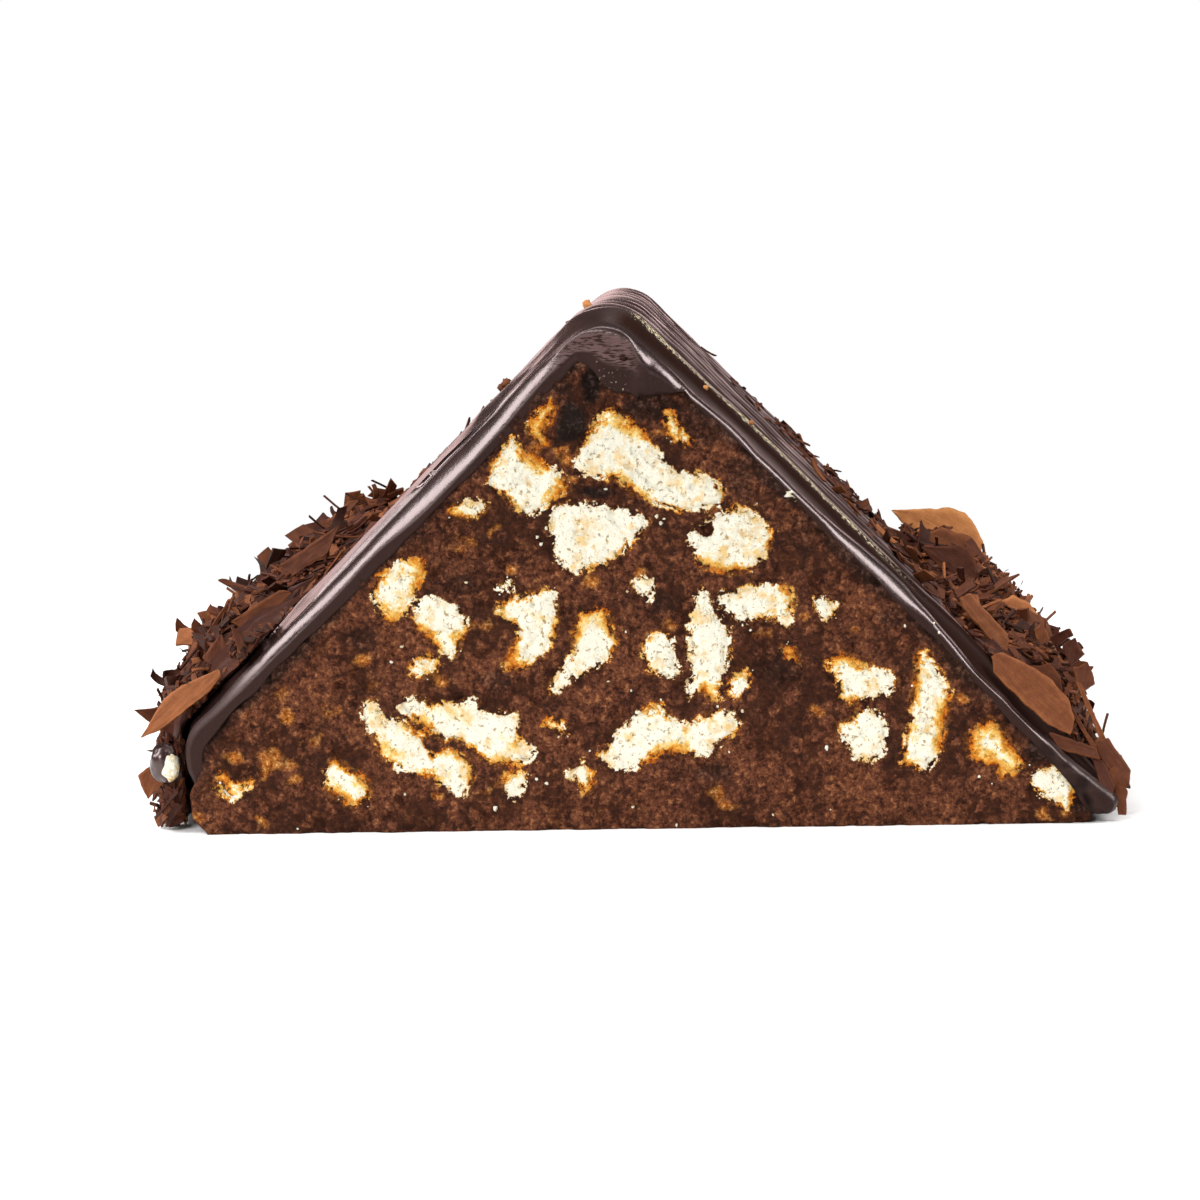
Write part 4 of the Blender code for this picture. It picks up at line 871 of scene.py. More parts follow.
def glaze_lines():
    """The glaze's outer line from the right foot over the ridge to the left foot, closer together round
    the ridge, its outward normals, and the dough's edge that faces each point."""
    closed = rounded_outline(GLAZE_CORNERS)
    first = int(np.flatnonzero((closed[:, 0] > 0) & (np.abs(closed[:, 1] - GLAZE_FOOT) < 1e-6)).max())
    path = np.r_[closed[first:], closed[:first]]
    along = arc_lengths(path)
    ridge = along[path[:, 1].argmax()]
    fine = np.linspace(0, along[-1], 2000)
    density = np.cumsum(1 + 1.5 * np.exp(-((fine - ridge) / 13) ** 2))
    where = np.interp(np.linspace(density[0], density[-1], 301), density, fine) / along[-1]
    outer = resampled(path, where)
    ahead = np.gradient(outer, axis=0)
    ahead /= np.linalg.norm(ahead, axis=1, keepdims=True)
    normal = np.stack((ahead[:, 1], -ahead[:, 0]), 1)
    dough = rounded_outline(DOUGH_CORNERS, 2.0)
    dough = resampled(np.r_[dough, dough[:1]], np.linspace(0, 1, 1500))
    dough = dough[dough[:, 1] > GLAZE_FOOT]
    nearest = np.linalg.norm(outer[:, None] - dough[None], axis=2).argmin(1)
    inner = dough[nearest]
    for _ in range(6):
        inner[1:-1] = (inner[:-2] + 2 * inner[1:-1] + inner[2:]) / 4
    return outer, normal, inner


def read_off(curve, place):
    """The height at a place of a curve given as (place, height) pairs, straight between them."""
    return np.interp(place, *zip(*curve))


def share_across(outer):
    """The share of the way across the loaf, from the right foot, at each point of the outer line."""
    return (outer[0, 0] - outer[:, 0]) / (outer[0, 0] - outer[-1, 0])


def lip_plan(outer, normal, inner):
    """How the lip of glaze round the cut is laid out, one value a point of the outer line: its points on
    the dough (overlap) and on the slope (rim), the width between them, its part in the smear at the peak
    (smear, and bulge at the smear's right end), in the pool at the right foot (pooled) and in the
    uncoated left foot (bare), and the shares of the width where the bevel begins and the rim turns."""
    x, z = outer[:, 0], outer[:, 1]
    spots = np.stack((x, np.full(len(x), FRONT_Y), z), 1)
    high = smooth_step(60, 68, z)
    smear_end = np.exp(-(((x - 3.2) / 4.8) ** 4))
    plan = SimpleNamespace(
        smear=high * smooth_step(-17.5, -12, x) * (1 - smooth_step(-2.5, 0.5, x)),
        bulge=smear_end * high,
        drop=read_off(SMEAR_DROP, inner[:, 0]),
        pooled=smooth_step(17, 11, z) * (x > 0),
        bare=bare_foot(x, z) / 2.3,
        wave=0.30 * noise(spots, 9.0, 71) + 0.12 * noise(spots, 3.0, 72),
        wander=6 * noise(spots, 15.0, 76))
    plan.dull_foot = np.where(x > 0, 0.35 * plan.pooled, 0.7 * smooth_step(31, 19, z))
    inset = (read_off(LIP_INSET, z) + 0.25 * noise(spots, 7.0, 70)) * smooth_step(-8, 0, x)
    plan.inset = inset + np.exp(-((x + 8) / 6) ** 2) + 1.1 * plan.bare
    plan.rim = outer - normal * plan.inset[:, None] * smooth_step(3, 9, z)[:, None]
    inward = inner - outer
    inward /= np.linalg.norm(inward, axis=1, keepdims=True)
    soaked_right = 1.1 * smooth_step(30, 18, z) * smooth_step(2, 8, z) * (x > 0)
    soaked_left = 0.9 * (x < 0) * smooth_step(20, 60, z)
    soak = (soaked_right + soaked_left) * (1 - plan.smear)
    plan.overlap = inner + inward * (0.2 + soak + 0.35 * noise(spots, 4.0, 69))[:, None]
    plan.overlap[:, 1] -= plan.drop * high
    plan.width = np.linalg.norm(plan.rim - plan.overlap, axis=1)
    right_bevel = 0.4 + 1.4 * np.exp(-(((x - 36.5) / 6.5) ** 4)) + 2.1 * smear_end
    bevel = np.where(x < -8, 0.5 + 1.3 * smooth_step(14, 34, z), right_bevel)
    bevel = bevel * (1 + 0.35 * noise(spots, 11.0, 74))
    bevel = np.minimum(bevel, np.linalg.norm(plan.rim - inner, axis=1) - 0.5 + 1.1 * plan.bulge)
    plan.begin = np.clip(1 - (LIP_TURN + bevel) / plan.width, 0.06, 0.84)
    plan.turning = 1 - LIP_TURN / plan.width
    return plan


def lip_rings(normal, plan):
    """The rings of the lip from the dough to the rim, their marks, and how far behind the cut the last one
    lies. The bevel leans back by 33 to 60 degrees and then turns over the rim; the smear at the peak has
    profiles of its own; the pool at the right foot stands out in lumps, with painted shade, nearly black,
    between them, and the lens of the smear gets pale specks, partly sugar and partly painted glints."""
    rings, marks = [], {"matte": [], "specks_and_painted_shade": [], "wrinkle": []}
    depth, before = np.zeros(len(normal)), 0.0
    for q in LIP_SHARES:
        flat = plan.overlap * (1 - q) + plan.rim * q + normal * (plan.wave * q)[:, None] * LIP_WAVE
        halfway = (q + before) / 2
        along = np.clip((halfway - plan.begin) / np.maximum(plan.turning - plan.begin, 0.02), 0, 1)
        lean = (33 + 27 * along + plan.wander) * smooth_step(plan.begin - 0.1, plan.begin + 0.05, halfway)
        lean = np.minimum(lean + 22 * smooth_step(plan.turning, 1, halfway), 84)
        depth = depth + np.tan(np.radians(lean)) * plan.width * (q - before)
        before = q
        edge = 0.34 * (1 - q / 0.03) if q < 0.03 else 0
        plain = -0.22 - 0.75 * plan.bulge * smooth_step(0, 0.15, q) + edge + depth
        middle, sides = read_off(SMEAR_MIDDLE, q), read_off(SMEAR_SIDES, q)
        smear = np.where(plan.drop > 0, sides + (middle - sides) * smooth_step(0.5, 4, plan.drop), sides)
        spots = np.stack((flat[:, 0], np.full(len(flat), FRONT_Y), flat[:, 1]), 1)
        lump = 0.05 + 1.6 * np.abs(noise(spots, 2.6, 66)) + 0.8 * np.abs(noise(spots, 1.3, 65))
        y = plain * (1 - plan.smear) + smear * plan.smear - plan.pooled * lump * (1 - q**3)
        rings.append(np.stack((flat[:, 0], FRONT_Y + y + BARE_SET_BACK * plan.bare, flat[:, 1]), 1))
        dull = 0.85 - 0.82 * smooth_step(plan.begin - 0.1, plan.begin + 0.04, q)
        dull = np.maximum(dull, plan.dull_foot)
        dull_smear = 0.85 - 0.7 * smooth_step(0.8, 0.88, q)
        marks["matte"].append(dull * (1 - plan.smear) + plan.smear * dull_smear)
        # Painted shade between the lumps of the pool goes into the specks mark under 0; over 0, the lens of
        # the smear gets pale specks, partly sugar and partly painted glints
        painted_pool_shade = plan.pooled * np.clip(1.25 - 1.6 * lump, 0, 1) * (1 - q**6)
        marks["specks_and_painted_shade"].append(0.5 * plan.smear * (q < 0.36) * smooth_step(1, 3, plan.drop) - painted_pool_shade)
        marks["wrinkle"].append(plan.smear * (smooth_step(0.36, 0.46, q) * smooth_step(0.9, 0.82, q)))
    return rings, marks, y


def slope_rings(outer, normal, plan, lip_depth):
    """The rings of the slopes, closest together by the cut, and their marks: the outer line plus the ribs
    and small dents, with the lip's depth, wave and inset fading out along the first mm. On the right
    slope every trough is dull, and so is the first rib, whose crest gets pale specks, partly sugar grains
    and partly painted sparkle highlights."""
    x, z = outer[:, 0], outer[:, 1]
    share = share_across(outer)
    rings, marks = [], {"matte": [], "specks_and_painted_shade": []}
    for ahead in np.r_[np.arange(0.25, 9, 0.42), np.linspace(9.2, BACK_Y - FRONT_Y, 168)]:
        y = FRONT_Y + ahead + lip_depth * math.exp(-ahead / 4)
        y = y + BARE_SET_BACK * plan.bare * math.exp(-ahead / 3)
        where = np.stack((x, y, z), 1)
        dented = np.clip(z / 8, 0.25, 1) * smooth_step(0, 6, ahead)
        relief = rib_height(share, z, y)
        relief = relief + dented * (0.22 * crumple(where, 8.0, 2, 75) + 0.07 * noise(where, 2.1, 77))
        relief = relief + plan.wave * math.exp(-ahead / 3) * LIP_WAVE
        relief = relief - plan.inset * smooth_step(3, 9, z) * math.exp(-((ahead / 4.5) ** 2))
        flat = outer + normal * relief[:, None]
        rings.append(np.stack((flat[:, 0], y, np.maximum(flat[:, 1], GLAZE_FOOT * 0.8)), 1))
        reach = rib_reach(share, y)
        right = smooth_step(-9, -3, x)
        valley = np.exp(-(((reach - 4.0) / 5.0) ** 2)) * right
        crest = np.exp(-(((reach - 9.0) / 2.6) ** 4)) * smooth_step(-7, 0, x)
        troughs = (0.5 + 0.5 * np.cos(2 * math.pi * (reach - 5) / RIB_PITCH)) ** 1.3 * right
        # Pale specks on the first rib's crest: partly sugar grains, partly painted sparkle highlights
        marks["specks_and_painted_shade"].append(crest * (1 - smooth_step(30, 52, x)))
        marks["matte"].append(np.maximum(np.maximum(valley, crest), troughs))
    return rings, marks


def back_caps(ring):
    """The closed back: copies of its ring, smoothed and drawn in step by step to one point, and dented."""
    middle = np.array((-3.0, ring[:, 1].mean(), 27.0))
    caps = []
    for scale in 1 - np.linspace(0, 1, 27)[1:]:
        for _ in range(4):
            ring = (np.roll(ring, 1, 0) + 2 * ring + np.roll(ring, -1, 0)) / 4
        cap = middle + (ring - middle) * scale
        where = cap + np.array((0, 300.0, 0))
        cap[:, 1] += (0.45 * noise(where, 11.0, 78) + 0.12 * noise(where, 3.0, 79)) * min(1, (1 - scale) * 8)
        caps.append(cap)
    caps[-1][:] = caps[-1].mean(0)
    return caps


def make_glaze(finish):
    """The glaze as one closed skin: rings across the loaf, each the outer line and the dough's room below
    it, from the lip at the cut, along the ribbed slopes, to the rounded back and its middle point."""
    outer, normal, inner = glaze_lines()
    plan = lip_plan(outer, normal, inner)
    rows, drawn, lip_depth = lip_rings(normal, plan)
    slopes, slope_marks = slope_rings(outer, normal, plan, lip_depth)
    rows += slopes
    for key, values in slope_marks.items():
        drawn[key] += values
    count = len(outer)
    for angle in np.radians((30, 60, 90)):
        y = BACK_Y + GLAZE_BACK - GLAZE_BACK_ROUND * (1 - math.sin(angle))
        flat = outer - normal * (GLAZE_BACK_ROUND * (1 - math.cos(angle)))
        rows.append(np.stack((flat[:, 0], np.full(count, y), np.maximum(flat[:, 1], GLAZE_FOOT)), 1))
    room = inner[::-6] + (inner[::-6] - np.array((-2.0, 25.0))) * (GAP / 40)
    below = len(room)
    rings = []
    for k, row in enumerate(rows):
        y = np.clip(row[:, 1].mean(), FRONT_Y + 0.6, BACK_Y + GAP)
        under = np.stack((room[:, 0], np.full(below, y + 0.001 * k), room[:, 1]), 1)
        if k >= len(rows) - 3:
            under[:, 1] = row[:, 1].mean()
            under[:, 2] = GLAZE_FOOT
            under[:, 0] = np.linspace(row[-1, 0], row[0, 0], below + 2)[1:-1]
        rings.append(np.r_[row, under])
    caps = back_caps(rings[-1])
    width = count + below
    marks = {}
    for key, rest in (("matte", 0.1), ("wrinkle", 0.0), ("specks_and_painted_shade", 0.0)):
        values = drawn[key] + [np.full(count, rest)] * (len(rows) - len(drawn[key]))
        values = [np.r_[value, np.zeros(below)] for value in values]
        marks[key] = np.concatenate(values + [np.full(width, rest)] * len(caps))
    points = tapered(np.concatenate(rings + caps))
    faces = [grid_faces(len(rings) + len(caps), width, around=True), [list(range(width))[::-1]]]
    put_mesh("glaze_coat", points, faces, finish, marks, ("glaze",), merge=True)


# Chocolate plates and shavings --------------------------------------------------------------------


def plate_surface(spec, seed, thickness):
    """A broken plate of chocolate: a grid between the halves of its ragged outline, on both faces, bowed a
    little, and joined round its edge. Returns its points, faces and marks."""
    y, lean, turn, tone, corners = spec
    closed = np.array(list(corners) + [corners[0]], float)
    outline = resampled(closed, np.arange(160) / 160)
    middle = np.array(corners, float).mean(0)
    where = np.c_[outline, np.full(160, seed)]
    away = (outline - middle) / np.linalg.norm(outline - middle, axis=1, keepdims=True)
    outline = outline + away * (0.22 * noise(where, 1.6, 81) + 0.10 * noise(where, 0.6, 82))[:, None]
    one, other = split_halves(outline, 44)
    v = np.linspace(0, 1, 16)[:, None]
    flat = one[:, None] * (1 - v) + other[:, None] * v
    x, z = flat[..., 0], flat[..., 1]
    back, side = math.tan(math.radians(-lean)), math.tan(math.radians(turn))
    depth = y + back * (z - middle[1]) + side * (x - middle[0])
    normal = np.array((-side, 1.0, -back)) / math.sqrt(side**2 + 1 + back**2)
    v = v[:, 0]
    edge = np.minimum(1, np.minimum(v, 1 - v) * 7) * np.ones_like(x)
    edge *= np.minimum(1, np.minimum(np.linspace(0, 1, 44), np.linspace(1, 0, 44)) * 14)[:, None]
    half = thickness / 2 * (0.55 + 0.45 * edge)
    face = np.stack((x, depth, z), 2)
    dents = 0.12 * noise(face.reshape(-1, 3), 1.3, seed).reshape(x.shape) * edge
    bow = 0.35 * np.sin(math.pi * v)[None, :] * np.ones_like(x)
    near = face - normal * (half + dents - bow * 0.4)[..., None]
    far = face + normal * (half + bow * 0.4)[..., None]
    loops = np.concatenate((near, far[:, ::-1]), 1)
    length = np.array((other[-1] - one[0])) / np.linalg.norm(other[-1] - one[0])
    along = (x - middle[0]) * length[0] + (z - middle[1]) * length[1]
    acrosswise = (x - middle[0]) * -length[1] + (z - middle[1]) * length[0]
    blade = np.stack((along * 0.22, acrosswise * 2.4, np.full_like(x, seed)), 2)
    blade = np.concatenate((blade, blade[:, ::-1]), 1).reshape(-1, 3)
    tones = np.concatenate((tone + 0.14 * (1 - edge), tone + 0.14 * (1 - edge)[:, ::-1]), 1).ravel()
    return loops.reshape(-1, 3), grid_faces(44, loops.shape[1], around=True), {"tone": tones, "blade": blade}


def make_plates(finish):
    """The broken plates, each on its own, and the smaller shards joined in one piece."""
    for name, spec in PLATES.items():
        points, faces, marks = plate_surface(spec, sum(map(ord, name)), PLATE_THICK)
        put_mesh("broken_" + name, points, [faces], finish, marks, (name,),
                 merge=True, sharp=32)
    parts = [plate_surface(spec, 7 * k + 3, SHARD_THICK) for k, spec in enumerate(SHARDS)]
    each = len(parts[0][0])
    points = np.concatenate([part[0] for part in parts])
    faces = [part[1] + each * k for k, part in enumerate(parts)]
    marks = {key: np.concatenate([part[2][key] for part in parts]) for key in ("tone", "blade")}
    put_mesh("larger_shards", points, faces, finish, marks, merge=True, sharp=32)


def hides_a_plate(points, small):
    """Whether each flake (n, k, 3) would stand between the camera and a plate or shard: its middle, drawn
    from the camera onto the plate's own distance, falls inside the plate's outline. Only flakes up to
    12 mm ahead of a farther plate count, and small ones count for the foremost plates alone."""
    middle = points.mean(1)
    hidden = np.zeros(len(middle), bool)
    camera = np.array(CAMERA_AT)
    for y, _, _, _, corners in [*PLATES.values(), *SHARDS]:
        if small and y > -80:
            continue
        ahead = np.flatnonzero((middle[:, 1] < y + 5) & ((middle[:, 1] > y - 12) | (y < -80)))
        reach = (y - camera[1]) / (middle[ahead, 1] - camera[1])
        seen = camera + (middle[ahead] - camera) * reach[:, None]
        radius = np.linalg.norm(points[ahead] - middle[ahead, None], axis=2).max(1)
        inside = inside_distance(seen[:, [0, 2]], np.array(corners, float)) > -0.65 * radius
        hidden[ahead[inside]] = True
    return hidden


def outside_line(side, height, distance):
    """Points (x, z) at heights on the glaze's outer line, moved square to the slope by a distance."""
    foot, apex = np.array(GLAZE_CORNERS[2 if side > 0 else 4][0]), np.array(GLAZE_CORNERS[3][0])
    slope = (apex - foot) / np.linalg.norm(apex - foot)
    outward = np.array((slope[1], -slope[0])) * side
    rise = np.maximum(height - foot[1], 0)
    base = foot + slope * (rise / slope[1])[:, None]
    base[:, 1] = np.where(height >= foot[1], base[:, 1], height)
    on_slope = np.clip((height - foot[1] + 3) / 6, 0, 1)[:, None]
    way = np.array((side, 0.0)) * (1 - on_slope) + outward * on_slope
    return base + way / np.linalg.norm(way, axis=1, keepdims=True) * distance[:, None]


def bank_skin(side, share, y):
    """Points on a bank's outer skin, at shares of the way up it and places along it, the way out of the
    heap there, and its thickness."""
    bank = np.array(RIGHT_BANK if side > 0 else LEFT_BANK)
    steps = np.linspace(0, 1, len(bank))
    length = (y - BANK_FRONT_Y) / (BANK_BACK_Y - BANK_FRONT_Y)
    swell = 1 - 0.30 * np.abs(2 * np.clip(length, 0, 1) - 1) ** 8
    where = np.stack((share * 20, y, np.full_like(y, 40.0 * side)), 1)
    swell = swell * (1 + 0.16 * noise(where, 14.0, 90))
    crest = 1 + 0.09 * np.sin(0.24 * y + side) * share**2
    height = np.interp(share, steps, bank[:, 0]) * crest
    thick = np.interp(share, steps, bank[:, 1]) * swell
    skin = outside_line(side, height, thick)
    thick_above = np.interp(np.clip(share + 0.03, 0, 1), steps, bank[:, 1]) * swell
    higher = outside_line(side, height + 0.5, thick_above)
    along = higher - skin
    along /= np.linalg.norm(along, axis=1, keepdims=True) + 1e-9
    out = np.stack((along[:, 1], np.zeros(len(y)), -along[:, 0]), 1) * side
    return np.stack((skin[:, 0], y, skin[:, 1]), 1), out, thick


def make_bank_core(label, side, finish):
    """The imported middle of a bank: rings of its skin, up to 2 mm in and lumpy, closed along the slope."""
    rows, across = 130, 16
    y = np.linspace(BANK_FRONT_Y, BANK_BACK_Y, rows)
    bank = RIGHT_BANK if side > 0 else LEFT_BANK
    rings = []
    for place in y:
        share = np.linspace(0, 1, across)
        skin, out, thick = bank_skin(side, share, np.full(across, place))
        sunk = np.minimum(2.0, thick * 0.7)
        skin = skin - out * sunk[:, None] + out * (1.1 * crumple(skin, 2.8, 3, 91))[:, None]
        height = np.interp(share, np.linspace(0, 1, len(bank)), np.array(bank)[:, 0])[::-1]
        inner = outside_line(side, height, np.minimum(0.5 + height * 0.05, 1.4))
        ring = np.r_[skin, np.stack((inner[:, 0], np.full(across, place), inner[:, 1]), 1)]
        ring[:, 2] = np.maximum(ring[:, 2], 0.6)
        rings.append(ring)
    points = np.concatenate(rings)
    width = 2 * across
    caps = [list(range(width)), list(range(len(points) - width, len(points)))]
    tone = 0.12 + 0.12 * noise(points, 2.5, 92)
    put_mesh(f"packed_shavings_{label}", points, [grid_faces(rows, width, around=True), caps], finish,
             {"tone": tone, "blade": points * np.array((0.5, 0.5, 1.5))}, (f"shavings_{label}",))


def flakes(dice, places, facing, lengthwise, size, stations, strips, tones):
    """Thin broken flakes as one mesh, each a tube of flat rings: u runs along it, v across. Its outline is
    four straight sides with a random width at each corner and a random slant at each end; it bends by its
    curl angle along u, cups across v, and twists. size holds length, width, thickness and curl angle."""
    count = len(places)
    length, width, thick, curl = (size[:, k, None] for k in range(4))
    u = np.linspace(0, 1, stations)[None, :]
    v = np.linspace(-1, 1, strips)
    corner = dice.uniform(0.45, 1.0, (count, 4, 1))
    upper_side = corner[:, 0] * (1 - u) + corner[:, 1] * u
    lower_side = corner[:, 2] * (1 - u) + corner[:, 3] * u
    torn = 1 + 0.07 * dice.uniform(-1, 1, (count, stations, 2))
    half = width[..., None] / 2 * np.where(v < 0, lower_side[..., None], upper_side[..., None])
    spread = half * np.where(v < 0, torn[..., :1], torn[..., 1:]) * v
    slant = dice.uniform(-0.55, 0.55, (count, 2)) * width
    slope = slant[:, :1, None] * (1 - u)[..., None] + slant[:, 1:, None] * u[..., None]
    start = (u - 0.5)[..., None] * length[..., None] + slope * v * 0.5
    bend = np.where(np.abs(curl) < 0.05, 0.05, curl)[..., None]
    radius = length[..., None] / bend
    angle = start / radius
    cup = dice.uniform(-0.10, 0.16, (count, 1, 1)) * width[..., None]
    x, z = radius * np.sin(angle), radius * (1 - np.cos(angle))
    z = z + cup * (v**2) * 0.5
    twist = dice.uniform(-0.2, 0.2, (count, 1, 1)) * (u - 0.5)[..., None] * 2
    y, z = spread * np.cos(twist), z + spread * np.sin(twist)
    thin = thick[..., None] / 2 * (1 - 0.3 * np.abs(v) ** 3)
    upper = np.stack((x, y, z + thin), 3)
    lower = np.stack((x, y, z - thin), 3)[:, :, ::-1]
    local = np.concatenate((upper, lower), 2)
    ring = local.shape[2]
    blade = np.stack((start * 0.3, spread * 2.6, np.zeros_like(start)), 3)
    blade = np.concatenate((blade, blade[:, :, ::-1]), 2).reshape(count, -1, 3)
    blade = blade + dice.uniform(0, 90, (count, 1, 3))
    frames = turned(facing, lengthwise)
    points = np.einsum("nij,nkj->nki", frames, local.reshape(count, -1, 3)) + places[:, None]
    each = stations * ring
    faces = grid_faces(stations, ring, around=True)
    ends = np.array([list(range(ring)), list(range(each - ring, each))])
    offset = each * np.arange(count)[:, None, None]
    marks = {"tone": np.repeat(tones, each) + 0.05 * dice.uniform(-1, 1, count * each),
             "blade": blade.reshape(-1, 3)}
    return points, [(faces[None] + offset).reshape(-1, 4), (ends[None] + offset).reshape(-1, ring)], marks


def kept_outside(points, side, clearance=0.35):
    """Moves each flake (n, k, 3) out of the glaze, up off the table, and back into the loaf's reach."""
    foot, apex = np.array(GLAZE_CORNERS[2 if side > 0 else 4][0]), np.array(GLAZE_CORNERS[3][0])
    slope = (apex - foot) / np.linalg.norm(apex - foot)
    outward = np.array((slope[1], -slope[0])) * side
    flat = points[..., [0, 2]]
    rib = RIB_HEIGHT * np.clip(flat[..., 1] / RIB_FOOT_FADE, 0, 1) * 0.7
    above = (flat - foot) @ outward - clearance - rib
    beside = (flat[..., 0] - foot[0]) * side - clearance
    push = np.maximum(-np.maximum(above, beside).min(1), 0)
    low_down = flat[..., 1].mean(1) < foot[1] - 1
    way = np.where(low_down[:, None], np.array((side, 0.0)), outward)
    points[..., 0] += (push * way[:, 0])[:, None]
    points[..., 2] += (push * way[:, 1])[:, None]
    points[..., 2] += np.maximum(0.3 - points[..., 2].min(1), 0)[:, None]
    low, high = (np.array(corner) / MM for corner in cad_box)
    for axis in (0, 1):
        points[..., axis] += np.maximum(low[axis] + 0.2 - points[..., axis].min(1), 0)[:, None]
        points[..., axis] -= np.maximum(points[..., axis].max(1) - high[axis] + 0.2, 0)[:, None]
    return points


# Kinds of shaving: count a bank, length, width, thickness and curl ranges, rings, points across, depth
SHAVINGS = {
    "broad_flakes": (260, (5.0, 11.5), (2.6, 5.8), (0.4, 0.9), (-0.3, 0.5), 8, 5, (-0.9, 0.4)),
    "flakes": (1300, (2.6, 7.0), (1.2, 3.6), (0.3, 0.7), (-0.5, 0.8), 5, 3, (-1.2, 0.6)),
    "curls": (34, (8.0, 15.0), (1.8, 4.0), (0.3, 0.5), (2.6, 5.4), 15, 3, (0.0, 0.8)),
    "bits": (2600, (1.0, 3.4), (0.6, 1.9), (0.2, 0.5), (-0.3, 0.4), 3, 2, (-1.2, 0.7)),
    "splinters": (420, (4.5, 12.0), (0.4, 0.9), (0.3, 0.6), (-0.3, 0.4), 5, 2, (-0.5, 0.9)),
}


def make_shavings(label, side, kind, spec, finish):
    """One kind of shaving over a bank: places drawn evenly over its skin and ends, each flake lying roughly
    along the skin and turned at random, moved clear of the glaze and the table. Flakes that would hide a
    plate are left out."""
    count, lengths, widths, thicks, curls, stations, strips, depth = spec
    dice = np.random.default_rng(sum(map(ord, kind + label)))
    share = dice.uniform(-0.02, 1.0, count) ** (0.85 if side > 0 else 0.88)
    share = np.clip(np.nan_to_num(share), 0, 1)
    y = dice.uniform(BANK_FRONT_Y - 7.0, BANK_BACK_Y - 1.0, count)
    front = dice.uniform(0, 1, count) < FRONT_SHARE
    rear = ~front & (dice.uniform(0, 1, count) < REAR_SHARE)
    y = np.where(front, dice.uniform(-117.5, BANK_FRONT_Y + 2, count), y)
    y = np.where(rear, dice.uniform(BANK_BACK_Y - 2, BANK_BACK_Y + 2, count), y)
    place, out, thick = bank_skin(side, share, y)
    sunk = dice.uniform(*depth, count) * np.minimum(1, thick / 4)
    sunk = np.where(front | rear, -thick * dice.uniform(0, 0.9, count), sunk)
    place = place + out * sunk[:, None]
    loose = dice.normal(0, 1, (count, 3)) * (0.16 + 0.26 * np.minimum(1, thick / 6))[:, None]
    facing = out + loose + np.array((0, 1.0, 0)) * np.where(front, -1.3, np.where(rear, 1.3, -0.25))[:, None]
    lengthwise = dice.normal(0, 1, (count, 3))
    big = dice.uniform(0, 1, (count, 1)) ** 1.8
    size = np.c_[lengths[0] + (lengths[1] - lengths[0]) * big,
                 widths[0] + (widths[1] - widths[0]) * big * dice.uniform(0.6, 1, (count, 1)),
                 dice.uniform(*thicks, (count, 1)), dice.uniform(*curls, (count, 1))]
    tones = np.clip(dice.normal(0.30 if side > 0 else 0.22, 0.18, count), 0.02, 0.8)
    points, faces, marks = flakes(dice, place, facing, lengthwise, size, stations, strips, tones)
    points = kept_outside(points, side)
    kept = ~hides_a_plate(points, kind == "bits")
    faces = [block.reshape(count, -1, block.shape[-1])[kept] for block in faces]
    shift = np.arange(count)[kept] - np.arange(kept.sum())
    each = points.shape[1]
    faces = [(block - each * shift[:, None, None]).reshape(-1, block.shape[-1]) for block in faces]
    marks = {key: values[np.repeat(kept, each)] for key, values in marks.items()}
    put_mesh(f"{kind}_{label}", points[kept].reshape(-1, 3), faces, finish, marks,
             sharp=28)


def make_outline_crumbs(shaved, biscuit):
    """A few crumbs that stand on the ridge and edges, as lumps: brown ones of chocolate and, on the right
    edge, one of biscuit with its dust."""
    dice = np.random.default_rng(23)
    brown = np.array(((-22.5, -108, 70.3), (-10.3, -65, 81.4), (-10.0, -60, 80.7), (-12.2, -106, 79.6),
                      (-23.2, -108, 69.6), (16.5, -108, 63.4), (3.0, -112, 75.4), (9.2, -112, 69.2)))
    radii = np.array(((0.9, 1.2, 0.8), (0.8, 1.0, 1.0), (0.9, 0.9, 0.8), (0.7, 0.9, 0.5), (0.8, 0.9, 0.6),
                      (0.4, 0.5, 0.4), (0.5, 0.5, 0.4), (0.6, 0.5, 0.5)))
    points, faces, owner = lumps(brown, radii, dice, 8, 6)
    tone = np.array((0.45, 0.95, 0.5, 0.4, 0.3, 0.8, 0.95, 1.0))[owner]
    put_mesh("brown_crumbs", points, [faces], shaved, {"tone": tone, "blade": points}, merge=True)
    pale = np.array(((21.9, -119.6, 52.8), (22.9, -119.5, 51.9), (21.2, -119.6, 53.7), (26.5, -118, 49.4)))
    radii = np.array(((1.1, 0.9, 0.7), (0.8, 0.8, 0.6), (0.5, 0.5, 0.4), (0.3, 0.3, 0.3)))
    points, faces, owner = lumps(pale, radii, dice, 8, 6)
    marks = {"edge": np.full(len(points), 1.6), "toast": np.array((0.5, 0.9, 0.4, 0.2))[owner],
             "stain_and_shade": np.zeros(len(points))}
    put_mesh("edge_crumb", points, [faces], biscuit, marks, merge=True)


